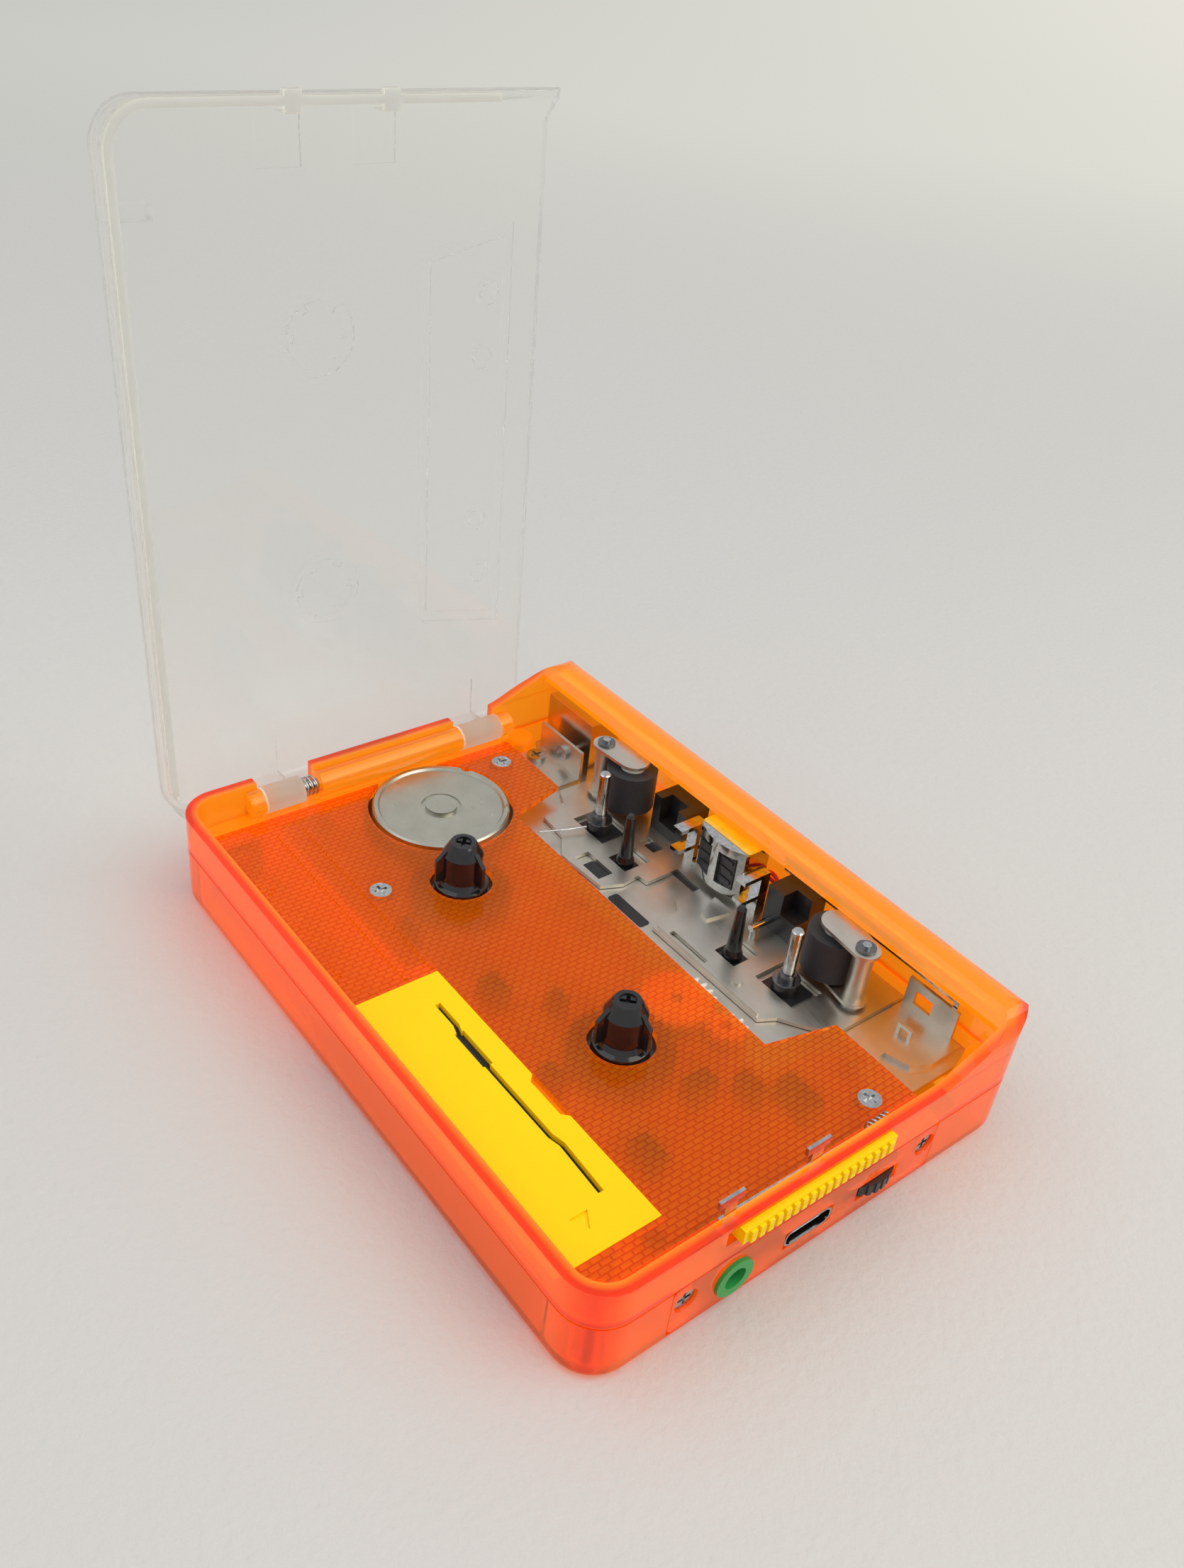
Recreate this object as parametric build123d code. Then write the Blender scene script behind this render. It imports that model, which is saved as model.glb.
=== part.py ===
"""Portable cassette player with an open hinged lid: one solid or set of solids per named piece.

Frame: X runs from the hinge end to the control end, Y from the battery side to the head side, Z up.
The origin is the centre of the flat bottom face. Lengths are in millimetres.
"""
from build123d import *
from math import asin, atan2, cos, hypot, pi, radians, sin, sqrt
import os

# Case
HALF_LENGTH = 57.4
HALF_WIDTH = 41.5
CORNER = 6.5
WALL = 1.9
FLOOR = 1.0
SPLIT_Z = 10.9
RIM_Z = 17.4
ROOF_Z = 24.2
ROOF_ROUND = 4.5
ROOF_SKIN = 1.3
ROOF_EDGE_Y = HALF_WIDTH - 8.5
ROOF_EDGE_DROP = 2.0
ROOF_SLOPE = 3.4
RAMP_START_Y = HALF_WIDTH - 21.0
BOTTOM_ROUND = 1.8
SEAM = 0.3
LEDGE = 0.7
LEDGE_X = 7.4 - HALF_LENGTH
FIT = 0.15

# Lid and its hinge
HINGE_X = 3.4 - HALF_LENGTH
HINGE_Z = 14.71
BARREL_R = 2.3
KNUCKLE_R = 2.4
HINGE_PIN_R = 0.9
OPEN_ANGLE = 92.2
LID_INSIDE_Z = 23.5
LID_SKIN = 1.2
LID_END_X = HALF_LENGTH - 2.9
LID_SIDE_Y = HALF_WIDTH - 9.1
LID_TIP_Y = HALF_WIDTH - 7.1
LID_GAP = 0.2
KNUCKLES = ((-26.9, -19.8), (13.0, 21.4))
BARRELS = ((-29.6, -27.2), (-16.5, 12.7), (21.7, 24.0))

# Decks and plates
DECK_Z = 12.6
DECK_T = 1.0
CHASSIS_Z = 9.0
CHASSIS_T = 0.8
HEAD_PLATE_T = 0.7
SLIDE_GAP = 0.1

# Tape transport
REEL_X = 0.4
REEL_Y = HALF_WIDTH - 49.55
REEL_SPACING = 42.5
REEL_BODY_R = 3.35
REEL_TOP_R = 2.07
REEL_TOP_Z = 20.73
DECK_HOLE_R = 5.25
CAPSTAN_OFFSET = 24.06
CAPSTAN_Y = REEL_Y + 31.46
CAPSTAN_R = 1.0
CAPSTAN_TOP_Z = 21.6
COLLAR_R = 2.3
COLLAR_TOP_R = 1.4
COLLAR_Z = (11.5, 11.7, 12.9)
CONE_OFFSET = 13.97
CONE_Y = REEL_Y + 29.41
CONE_TOP_Z = 19.86
ARM_OFFSET = 32.22
ARM_Y = REEL_Y + 38.17
ARM_PIN_R = 0.7
ROLLER_OFFSET = 25.6
ROLLER_Y = REEL_Y + 39.25
ROLLER_R = 4.6
ROLLER_LOW_Z = 11.8
ROLLER_TOP_Z = 19.4
RUN = 0.05

# Drive below the chassis
MOTOR_X = 17.4 - HALF_LENGTH
MOTOR_Y = REEL_Y + 8.35
MOTOR_R = 12.1
MOTOR_LOW_Z = 3.4
MOTOR_GAP = 0.7
PULLEY_R = 3.0
FLYWHEEL_R = 12.5
FLYWHEEL_Z = (1.6, 5.2)
BELT_Z = (1.9, 2.7)
BELT_T = 0.6
BELT_GAP = 0.3
MODULE = 0.5
PINION_TEETH = 14
CLUTCH_TEETH = 48
CLUTCH_PINION_TEETH = 12
IDLER_TEETH = 24
REEL_TEETH = 32
CLUTCH_ANGLE = -80.0
GEAR_Z = (9.95, 11.15)
LOW_GEAR_Z = (6.3, 7.7)

# Battery bay and control end
BAY_X = (7.9 - HALF_LENGTH, HALF_LENGTH - 9.9)
BAY_Y = 13.9 - HALF_WIDTH
BAY_WALL = 1.2
DOOR_X = (HALF_LENGTH - 62.1, HALF_LENGTH - 8.9)
DOOR_Y = 18.5 - HALF_WIDTH
PANEL_Y = (13.5 - HALF_WIDTH, HALF_WIDTH - 19.5)
PANEL_LENGTH = PANEL_Y[1] - PANEL_Y[0]
PANEL_Z = (2.0, 10.7)
JACK = (PANEL_Y[0] + 0.216 * PANEL_LENGTH, 5.8)
JACK_R = 1.8
JACK_RING_R = 3.2
USB = (PANEL_Y[0] + 0.494 * PANEL_LENGTH, 5.7)
USB_SIZE = (9.0, 3.2)
BOARD_X = (HALF_LENGTH - 15.9, HALF_LENGTH - 2.9)
BOARD_Z = (2.6, 3.6)
WHEEL = (HALF_LENGTH - 5.6, PANEL_Y[0] + 0.768 * PANEL_LENGTH)
WHEEL_R = 6.5
WHEEL_Z = (4.7, 6.7)
SLIDER_Y = (-18.3, 10.1)
SLIDER_Z = (14.2, 16.6)
SLIDER_OUT = 1.5
SLIDER_TRAVEL = 1.8
HOOKS_Y = (-18.4, -2.9)
HOOK_TOP_Z = 20.4
HOOK_HALF = 2.15
PLATE_T = 0.5
BRACKET_X = (7.4 - HALF_LENGTH, 19.9 - HALF_LENGTH)
BRACKET_Y = HALF_WIDTH - 12.1
SIDE_SCREW_Z = 12.8
BUTTONS_X = (12.0, 23.0, 31.5, 42.0)
BUTTON_Z = 17.9
BUTTON_SIZE = (4.8, 3.0)
BUTTON_TRAVEL = 0.6

# Screws
SCREW_R = 0.9
SCREW_HEAD_R = 1.8
SCREW_HEAD_T = 0.8
BOSS_R = 2.4
DECK_SCREWS = (
    (-25.6, DOOR_Y + 2.5),
    (11.1 - HALF_LENGTH, HALF_WIDTH - 23.9),
    (HALF_LENGTH - 7.8, HALF_WIDTH - 26.2),
)
CHASSIS_SCREWS = (
    (8.4 - HALF_LENGTH, DOOR_Y + 5.0),
    (35.0, DOOR_Y + 5.0),
    (HALF_LENGTH - 15.1, HALF_WIDTH - 21.9),
)
BRACKET_SCREW = (10.0 - HALF_LENGTH, HALF_WIDTH - 14.9)
CORNER_SCREW_X = HALF_LENGTH - 4.65
CORNER_SCREW_Y = HALF_WIDTH - 4.65
SIDE_SCREW = (4.5 - HALF_LENGTH, HALF_WIDTH - 15.0)
CASE_SCREWS = (
    (-CORNER_SCREW_X, -CORNER_SCREW_Y),
    (CORNER_SCREW_X, -CORNER_SCREW_Y),
    (CORNER_SCREW_X, CORNER_SCREW_Y),
    SIDE_SCREW,
)
PANEL_SCREWS_Y = (PANEL_Y[0] + 2.4, PANEL_Y[1] - 2.0)
PANEL_SCREW_Z = 7.35

# Places worked out from the sizes above
INNER_X = HALF_LENGTH - WALL
INNER_Y = HALF_WIDTH - WALL
HEAD_Y = REEL_Y + 36.65
LID_Z = LID_INSIDE_Z + LID_SKIN
DECK_LOW_Z = DECK_Z - DECK_T
CHASSIS_LOW_Z = CHASSIS_Z - CHASSIS_T
HEAD_PLATE_LOW_Z = CHASSIS_Z + SLIDE_GAP
HEAD_PLATE_Z = HEAD_PLATE_LOW_Z + HEAD_PLATE_T
REELS_X = (REEL_X - REEL_SPACING / 2, REEL_X + REEL_SPACING / 2)
CAPSTANS_X = (REEL_X - CAPSTAN_OFFSET, REEL_X + CAPSTAN_OFFSET)
CONES_X = (REEL_X - CONE_OFFSET, REEL_X + CONE_OFFSET)
ARMS_X = (REEL_X - ARM_OFFSET, REEL_X + ARM_OFFSET)
ROLLERS_X = (REEL_X - ROLLER_OFFSET, REEL_X + ROLLER_OFFSET)
HEAD_X = (-5.4, 5.6)
HEAD_WINDOWS = ((-4.3, -0.7), (0.9, 4.5))


def box(x0, x1, y0, y1, z0, z1):
    """A block between two corners."""
    block = Box(x1 - x0, y1 - y0, z1 - z0)
    return Pos((x0 + x1) / 2, (y0 + y1) / 2, (z0 + z1) / 2) * block


def disc(x, y, z0, z1, r):
    """An upright cylinder."""
    return Pos(x, y, (z0 + z1) / 2) * Cylinder(r, z1 - z0)


def ring(x, y, z0, z1, r, bore):
    """An upright tube."""
    return disc(x, y, z0, z1, r) - disc(x, y, z0 - 1, z1 + 1, bore)


def bar_x(y, z, x0, x1, r):
    """A cylinder along X."""
    return Pos((x0 + x1) / 2, y, z) * Rot(0, 90, 0) * Cylinder(r, x1 - x0)


def bar_y(x, z, y0, y1, r):
    """A cylinder along Y."""
    return Pos(x, (y0 + y1) / 2, z) * Rot(90, 0, 0) * Cylinder(r, y1 - y0)


def slab(points, z0, z1):
    """A flat plate with a straight-sided outline."""
    return Pos(0, 0, z0) * extrude(make_face(Polyline(*points, close=True)), z1 - z0)


def slab_yz(points, x0):
    """A sheet-metal plate that stands across X."""
    return Pos(x0, 0, 0) * extrude(Plane.YZ * make_face(Polyline(*points, close=True)), PLATE_T)


def rounded(x0, x1, y0, y1, z0, z1, r):
    """A block with upright rounded corners."""
    outline = RectangleRounded(x1 - x0, y1 - y0, r)
    return Pos((x0 + x1) / 2, (y0 + y1) / 2, z0) * extrude(outline, z1 - z0)


def bridge(a, ra, b, rb, z0, z1):
    """A plate round two upright axes, like a belt pulled tight."""
    circles = (Pos(*a) * Circle(ra)).edges() + (Pos(*b) * Circle(rb)).edges()
    return Pos(0, 0, z0) * extrude(make_hull(circles), z1 - z0)


def turned(x, y, profile):
    """A turned piece from a list of radius and height pairs that starts and ends on the axis."""
    face = Plane.XZ * make_face(Polyline(*profile, close=True))
    return Pos(x, y, 0) * revolve(face, Axis.Z)


def gear(x, y, z0, z1, teeth, phase):
    """A spur gear whose tooth lies at the angle given."""
    pitch_r = MODULE * teeth / 2
    tip_r = pitch_r + 0.8 * MODULE
    root_r = pitch_r - 1.15 * MODULE
    step = 2 * pi / teeth
    points = []
    for i in range(teeth):
        centre = phase + i * step
        for r, share in ((root_r, -0.30), (tip_r, -0.10), (tip_r, 0.10), (root_r, 0.30)):
            a = centre + share * step
            points.append((x + r * cos(a), y + r * sin(a)))
    return slab(points, z0, z1)


def mesh_phase(a, teeth_a, phase_a, b, teeth_b):
    """The angle of a tooth on gear b that puts it in mesh with gear a."""
    line = atan2(b[1] - a[1], b[0] - a[0])
    step_a = 2 * pi / teeth_a
    offset = ((line - phase_a) % step_a) / step_a
    return line + pi + (offset + 0.5) * 2 * pi / teeth_b


def meeting_point(a, ra, b, rb):
    """The point at distance ra from a and rb from b, on the left going from a to b."""
    dx = b[0] - a[0]
    dy = b[1] - a[1]
    d = hypot(dx, dy)
    along = (ra * ra - rb * rb + d * d) / (2 * d)
    across = sqrt(ra * ra - along * along)
    return (a[0] + (along * dx - across * dy) / d, a[1] + (along * dy + across * dx) / d)


def biarc(p0, t0, p1, t1):
    """Two arcs that leave p0 along t0 and reach p1 along t1."""
    v = p1 - p0
    t = t0 + t1
    k = 2 * (1 - t0.dot(t1))
    vt = v.dot(t)
    d = (sqrt(vt * vt + k * v.dot(v)) - vt) / k
    q0 = p0 + t0 * d
    q1 = p1 - t1 * d
    middle = (q0 + q1) * 0.5
    return [TangentArc(p0, middle, tangent=t0), TangentArc(middle, p1, tangent=q1 - q0)]


def coil_along_y(x, z, y0, pitch, turns, r, start, lead_in, lead_out, wire_r, name):
    """A coil spring along Y with a straight leg at each end, and its least gap to itself."""

    def point(turn):
        a = start + 2 * pi * turn
        return Vector(x + r * sin(a), y0 + pitch * turn, z + r * cos(a))

    def tangent(turn):
        a = start + 2 * pi * turn
        return Vector(2 * pi * r * cos(a), pitch, -2 * pi * r * sin(a)).normalized()

    steps = round(4 * turns)
    edges = [Line(point(0) - tangent(0) * lead_in, point(0))] if lead_in else []
    for i in range(steps):
        a = i / 4
        b = (i + 1) / 4
        edges += biarc(point(a), tangent(a), point(b), tangent(b))
    if lead_out:
        edges.append(Line(point(turns), point(turns) + tangent(turns) * lead_out))
    path = Wire(edges)
    samples = [point(turns * i / 240) for i in range(241)]
    apart = 240 / turns * 0.5
    gap = min(
        (samples[i] - samples[j]).length
        for i in range(241)
        for j in range(241)
        if j - i > apart
    )
    print(name, "least gap between turns", round(gap - 2 * wire_r, 3))
    start_plane = Plane(origin=path @ 0, z_dir=path % 0)
    return sweep(start_plane * Circle(wire_r), path=path)


def save(name, shape):
    """Write one piece as a STEP file."""
    export_step(shape, "parts/" + name + ".step")


def quarter(centre, r, start):
    """A quarter arc, anticlockwise from the start angle in degrees."""
    points = [
        (centre[0] + r * cos(radians(start + part)), centre[1] + r * sin(radians(start + part)))
        for part in (0, 45, 90)
    ]
    return ThreePointArc(*points)


def outer_case():
    """The closed outline of the upper shell: rim, end ramps and rounded roof."""
    top, side, r = ROOF_Z, HALF_WIDTH, ROOF_ROUND
    edge_z = ROOF_Z - ROOF_EDGE_DROP
    slope_y = ROOF_EDGE_Y + ROOF_SLOPE
    ramp = Spline(
        (RAMP_START_Y, RIM_Z),
        ((RAMP_START_Y + ROOF_EDGE_Y) / 2, (RIM_Z + edge_z) / 2 - 0.4),
        (ROOF_EDGE_Y, edge_z),
        (slope_y, top),
        tangents=((1, 0.1), (1, 0.15)),
    )
    walls = [(RAMP_START_Y, RIM_Z), (-side, RIM_Z), (-side, SPLIT_Z), (side, SPLIT_Z), (side, top - r)]
    outline = [
        Polyline(*walls),
        quarter((side - r, top - r), r, 0),
        Line((side - r, top), (slope_y, top)),
        ramp,
    ]
    block = extrude(Plane.YZ * make_face(outline), HALF_LENGTH, both=True)
    plan = rounded(-HALF_LENGTH, HALF_LENGTH, -side, side, SPLIT_Z, ROOF_Z + 1, CORNER)
    return block & plan & end_rounding(0)


def end_rounding(inset):
    """The roof's rounded ends seen along Y."""
    x = HALF_LENGTH - inset
    top = ROOF_Z - inset
    r = ROOF_ROUND - inset
    outline = [
        Polyline((-x, top - r), (-x, 0), (x, 0), (x, top - r)),
        quarter((x - r, top - r), r, 0),
        Line((x - r, top), (r - x, top)),
        quarter((r - x, top - r), r, 90),
    ]
    return extrude(Plane.XZ * make_face(outline), HALF_WIDTH + 1, both=True)


def under_roof():
    """The hollow of the upper shell: open up to the roof's free edge, then under the roof."""
    top = ROOF_Z - ROOF_SKIN
    side = INNER_Y
    r = ROOF_ROUND - WALL
    low = SPLIT_Z - 1
    high = ROOF_Z + 8
    well = rounded(-INNER_X, INNER_X, -side, side, low, high, CORNER - WALL)
    open_part = well & box(-INNER_X, INNER_X, -side, ROOF_EDGE_Y, low, high)
    outline = [
        Polyline(
            (side - r, top),
            (ROOF_EDGE_Y + ROOF_SLOPE, top),
            (ROOF_EDGE_Y, ROOF_Z - ROOF_EDGE_DROP - 1.0),
            (ROOF_EDGE_Y, low),
            (side, low),
            (side, top - r),
        ),
        quarter((side - r, top - r), r, 0),
    ]
    covered = extrude(Plane.YZ * make_face(outline), INNER_X, both=True)
    return open_part + (covered & well & end_rounding(WALL))


def upper_shell():
    shell = outer_case() - under_roof()
    inner = rounded(-INNER_X, INNER_X, -INNER_Y, INNER_Y, SPLIT_Z, SPLIT_Z + LEDGE, CORNER - WALL)
    ledge = inner & box(-INNER_X, INNER_X, -INNER_Y, INNER_Y - 17.6, SPLIT_Z, SPLIT_Z + LEDGE)
    ledge -= box(LEDGE_X, INNER_X - 3, 2 - INNER_Y, INNER_Y - 9.6, SPLIT_Z - 1, DECK_Z)
    ledge -= disc(MOTOR_X, MOTOR_Y, SPLIT_Z - 1, DECK_Z, MOTOR_R + MOTOR_GAP)
    shell += ledge
    for x, y in CASE_SCREWS:
        shell += disc(x, y, SPLIT_Z, SPLIT_Z + LEDGE, BOSS_R)
        shell -= disc(x, y, SPLIT_Z - 1, SPLIT_Z + LEDGE - 0.2, SCREW_R + FIT)
    for y0, y1 in BARRELS:
        shell += bar_y(HINGE_X, HINGE_Z, y0, y1, BARREL_R)
        shell += box(-INNER_X, HINGE_X + 0.8, y0, y1, SPLIT_Z + LEDGE, HINGE_Z)
    notch_z = HINGE_Z - 3.2
    for y0, y1 in KNUCKLES:
        shell -= box(-HALF_LENGTH - 1, -INNER_X + 0.1, y0 - 0.3, y1 + 0.3, notch_z, ROOF_Z)
    shell -= box(-HALF_LENGTH - 1, -INNER_X + 0.1, KNUCKLES[0][1], BARRELS[1][0], notch_z, ROOF_Z)
    shell -= bar_y(HINGE_X, HINGE_Z, BARRELS[0][0] + 0.6, BARRELS[-1][1] + 1, HINGE_PIN_R + RUN)
    leg_y = BARRELS[1][0] - 0.35
    shell -= box(HINGE_X + 1.0, HINGE_X + 2.4, leg_y - 0.5, leg_y + 0.3, SPLIT_Z - 1, SPLIT_Z + LEDGE + 0.1)
    shell -= box(INNER_X - 0.5, HALF_LENGTH + 1, SLIDER_Y[0] - SLIDER_TRAVEL - FIT, SLIDER_Y[1] + FIT,
                 SLIDER_Z[0] - 0.1, SLIDER_Z[1] + 0.1)
    w, h = BUTTON_SIZE
    for x in BUTTONS_X:
        hole = rounded(-w / 2 - 0.1, w / 2 + 0.1, -h / 2 - 0.1, h / 2 + 0.1, -WALL - 2, WALL + 2, 1.2)
        shell -= Pos(x, HALF_WIDTH, BUTTON_Z) * Rot(90, 0, 0) * hole
    return shell


def lower_shell():
    """The tub, with a fine groove along its seam with the upper shell."""
    x, y = HALF_LENGTH - SEAM, HALF_WIDTH - SEAM
    tub = rounded(-HALF_LENGTH, HALF_LENGTH, -HALF_WIDTH, HALF_WIDTH, 0, SPLIT_Z - SEAM, CORNER)
    tub = fillet(tub.faces().sort_by(Axis.Z)[0].edges(), BOTTOM_ROUND)
    tub += rounded(-x, x, -y, y, SPLIT_Z - 2, SPLIT_Z, CORNER - SEAM)
    hollow = rounded(-INNER_X, INNER_X, -INNER_Y, INNER_Y, FLOOR, SPLIT_Z + 1, CORNER - WALL)
    hollow = fillet(hollow.faces().sort_by(Axis.Z)[0].edges(), 0.8)
    tub -= hollow
    rib_top = DECK_LOW_Z - 0.1
    tub += box(LEDGE_X + 0.15, BAY_X[1] + BAY_WALL, BAY_Y, BAY_Y + BAY_WALL, FLOOR, rib_top)
    for x0 in (BAY_X[0] - BAY_WALL, BAY_X[1]):
        tub += box(x0, x0 + BAY_WALL, -INNER_Y, BAY_Y, FLOOR, SPLIT_Z)
    shelf_y = DOOR_Y + 0.4
    tub += box(DOOR_X[0] - 3, BAY_X[1] + BAY_WALL, BAY_Y, shelf_y, rib_top - 1, rib_top)
    for x, y in CHASSIS_SCREWS + (BRACKET_SCREW,):
        tub += disc(x, y, FLOOR, CHASSIS_LOW_Z, BOSS_R)
        tub -= disc(x, y, CHASSIS_LOW_Z - 5, CHASSIS_Z, SCREW_R + RUN)
    for x, y in CASE_SCREWS:
        tub += disc(x, y, FLOOR, SPLIT_Z, BOSS_R)
        tub -= disc(x, y, -1, SPLIT_Z + 1, SCREW_R + FIT)
        tub -= disc(x, y, -1, 1.6, SCREW_HEAD_R + FIT)
    for y in PANEL_SCREWS_Y:
        tub += box(INNER_X - 4, INNER_X, y - 2, y + 2, FLOOR, PANEL_SCREW_Z + 2)
        tub -= bar_x(y, PANEL_SCREW_Z, INNER_X - 3.2, INNER_X + 1, SCREW_R + RUN)
    for x in CAPSTANS_X:
        tub += disc(x, CAPSTAN_Y, FLOOR, FLOOR + 0.3, 2.5)
    for angle in (140, 215, 290):
        x = MOTOR_X + 10 * cos(radians(angle))
        y = MOTOR_Y + 10 * sin(radians(angle))
        tub += disc(x, y, FLOOR, MOTOR_LOW_Z, 1.2)
    clutch = clutch_centre()
    tub += disc(*clutch, FLOOR, LOW_GEAR_Z[0] - 0.2, 1.7)
    tub -= disc(*clutch, 3, LOW_GEAR_Z[0], 0.8)
    for y in (JACK[0] - 1.8, WHEEL[1] + 3.6):
        tub += disc(BOARD_X[0] + 2.5, y, FLOOR, BOARD_Z[0], 1.6)
    tub -= box(INNER_X - 0.5, HALF_LENGTH + 1, PANEL_Y[0] - FIT, PANEL_Y[1] + FIT,
               PANEL_Z[0] - FIT, SPLIT_Z + 1)
    return tub


def end_panel():
    """The flat strip of the control end with the sockets."""
    x0, x1 = INNER_X, HALF_LENGTH
    panel = RectangleRounded(PANEL_LENGTH, PANEL_Z[1] - PANEL_Z[0], 1.2)
    outline = Pos(sum(PANEL_Y) / 2, sum(PANEL_Z) / 2) * panel
    panel = Pos(x0, 0, 0) * extrude(Plane.YZ * outline, WALL)
    panel -= bar_x(*JACK, x0 - 1, x1 + 1, JACK_RING_R + 0.1)
    w, h = USB_SIZE
    y, z = USB
    panel -= box(x0 - 1, x1 + 1, y - w / 2 - 0.1, y + w / 2 + 0.1, z - h / 2 - 0.1, z + h / 2 + 0.1)
    panel -= disc(*WHEEL, WHEEL_Z[0] - 0.4, WHEEL_Z[1] + 0.4, WHEEL_R + 0.5)
    for y in PANEL_SCREWS_Y:
        panel -= bar_x(y, PANEL_SCREW_Z, x0 - 1, x1 + 1, SCREW_R + FIT)
        panel -= bar_x(y, PANEL_SCREW_Z, x1 - 1.2, x1 + 1, SCREW_HEAD_R + FIT)
    return panel


def screw_up(x, y, head_z, length):
    """A screw with its head uppermost and a cross in it."""
    screw = disc(x, y, head_z, head_z + SCREW_HEAD_T, SCREW_HEAD_R)
    screw += disc(x, y, head_z - length, head_z, SCREW_R)
    top = head_z + SCREW_HEAD_T
    screw -= box(x - 1.1, x + 1.1, y - 0.25, y + 0.25, top - 0.4, top + 1)
    screw -= box(x - 0.25, x + 0.25, y - 1.1, y + 1.1, top - 0.4, top + 1)
    return screw


def deck_screws():
    head_z = DECK_Z - SCREW_HEAD_T - 0.1
    return Compound([screw_up(x, y, head_z, 3.4) for x, y in DECK_SCREWS])


def case_screws():
    """The screws in the bottom, heads down."""
    screws = []
    for x, y in CASE_SCREWS:
        turned_over = Rot(180, 0, 0) * screw_up(0, 0, 0, 9.6)
        screws.append(Pos(x, y, 0.4 + SCREW_HEAD_T) * turned_over)
    return Compound(screws)


def end_screws():
    """The two screws that hold the socket strip."""
    screws = []
    for y in PANEL_SCREWS_Y:
        screw = Rot(0, 90, 0) * screw_up(0, 0, 0, 3.6)
        screws.append(Pos(HALF_LENGTH - 1.2, y, PANEL_SCREW_Z) * screw)
    return Compound(screws)


def lid_closed():
    """The clear lid in its shut position."""
    x0, x1 = -HALF_LENGTH, LID_END_X
    y0 = -HALF_WIDTH
    low = RIM_Z + LID_GAP
    body = rounded(x0, x1, y0, LID_SIDE_Y + 20, low, LID_Z, CORNER)
    body = fillet(body.faces().sort_by(Axis.Z)[-1].edges(), 2.2)
    skin = LID_SKIN
    inside = rounded(x0 + skin, x1 - skin, y0 + skin, LID_SIDE_Y + 30, low - 1, LID_INSIDE_Z, CORNER - skin)
    inside = fillet(inside.faces().sort_by(Axis.Z)[-1].edges(), 1.2)
    body -= inside
    edge = [
        (x0 - 1, y0 - 1),
        (x1 + 1, y0 - 1),
        (x1 + 1, LID_TIP_Y),
        (x1 - 1.5, LID_TIP_Y),
        (x1 - 5, LID_SIDE_Y),
        (x0 + 5, LID_SIDE_Y),
        (x0 + 1.5, LID_TIP_Y),
        (x0 - 1, LID_TIP_Y),
    ]
    body &= slab(edge, low - 1, LID_Z + 1)
    edge_z = ROOF_Z - ROOF_EDGE_DROP
    for ends in ((x0 - 1, x0 + 6), (x1 - 6, x1 + 1)):
        ramp = [
            (RAMP_START_Y - 1, low - 1),
            (RAMP_START_Y - 1, low + 1.2),
            (RAMP_START_Y + 6.5, low + 3.2),
            (RAMP_START_Y + 10.5, edge_z + 0.7),
            (LID_TIP_Y + 1, LID_INSIDE_Z - 0.1),
            (LID_TIP_Y + 1, low - 1),
        ]
        wedge = extrude(Plane.YZ * make_face(Polyline(*ramp, close=True)), ends[1] - ends[0])
        body -= Pos(ends[0], 0, 0) * wedge
    body -= box(x0 - 1, HINGE_X + 4, y0 - 1, LID_TIP_Y, low - 1, HINGE_Z + 4.1)
    body += lid_window()
    for x in (HINGE_X + 31.44, HINGE_X + 73.94):
        body += reel_ring(x, REEL_Y - 0.38)
    for near, far in KNUCKLES:
        body += bar_y(HINGE_X, HINGE_Z, near, far, KNUCKLE_R)
        body += box(HINGE_X - 3.0, HINGE_X - 0.8, near, far, HINGE_Z, LID_INSIDE_Z + 0.2)
        body += box(HINGE_X - 3.0, HINGE_X + 6, near, far, LID_INSIDE_Z - 0.4, LID_INSIDE_Z + 0.2)
    body -= bar_y(HINGE_X, HINGE_Z, y0, LID_TIP_Y, HINGE_PIN_R + RUN)
    for y in HOOKS_Y:
        near = y + HOOK_HALF + FIT
        body += box(LID_END_X - 0.6, LID_END_X + 0.8, near, near + 2.6, low, HOOK_TOP_Z - 1.4)
        body += box(LID_END_X - 2.2, LID_END_X - LID_SKIN + 0.1, near, near + 2.6, low, LID_INSIDE_Z - 2)
        foot_z = LID_INSIDE_Z - 0.4
        body += box(LID_END_X - 10, LID_END_X - 0.6, near - 2, near + 5, foot_z, foot_z + 0.6)
    body += box(x1 - 15.5, x1 - 13.5, y0 + skin - 0.2, y0 + 7.0, LID_INSIDE_Z - 2.5, LID_INSIDE_Z + 0.2)
    return body


def lid_window():
    """The raised frame over the tape window, with its round and dotted marks."""
    centre = HINGE_X + 52.7
    outer = [(-32.2, 18.55), (32.2, 18.55), (35.9, 35.55), (-35.9, 35.55)]
    inner = [(-30.6, 19.95), (30.6, 19.95), (33.7, 34.15), (-33.7, 34.15)]
    frame = slab(outer, LID_Z - 0.1, LID_Z + 0.5) - slab(inner, LID_Z + 0.2, LID_Z + 1)
    for x, y in ((-25, 31.05), (-14.5, 30.05), (14.5, 30.05), (25, 31.05)):
        frame += ring(x, y, LID_Z, LID_Z + 0.5, 2.1, 1.4)
    return Pos(centre, REEL_Y, 0) * frame


def reel_ring(x, y):
    """A raised ring with six inner teeth that marks a reel."""
    top = LID_Z + 0.35
    mark = ring(x, y, LID_Z - 0.1, top, 6.33, 5.3)
    for i in range(6):
        tooth = box(4.2, 5.8, -0.6, 0.6, LID_Z - 0.1, top)
        mark += Pos(x, y, 0) * Rot(0, 0, 60 * i + 30) * tooth
    return mark


def lid():
    swing = Pos(HINGE_X, 0, HINGE_Z) * Rot(0, -OPEN_ANGLE, 0) * Pos(-HINGE_X, 0, -HINGE_Z)
    return swing * lid_closed()


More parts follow.
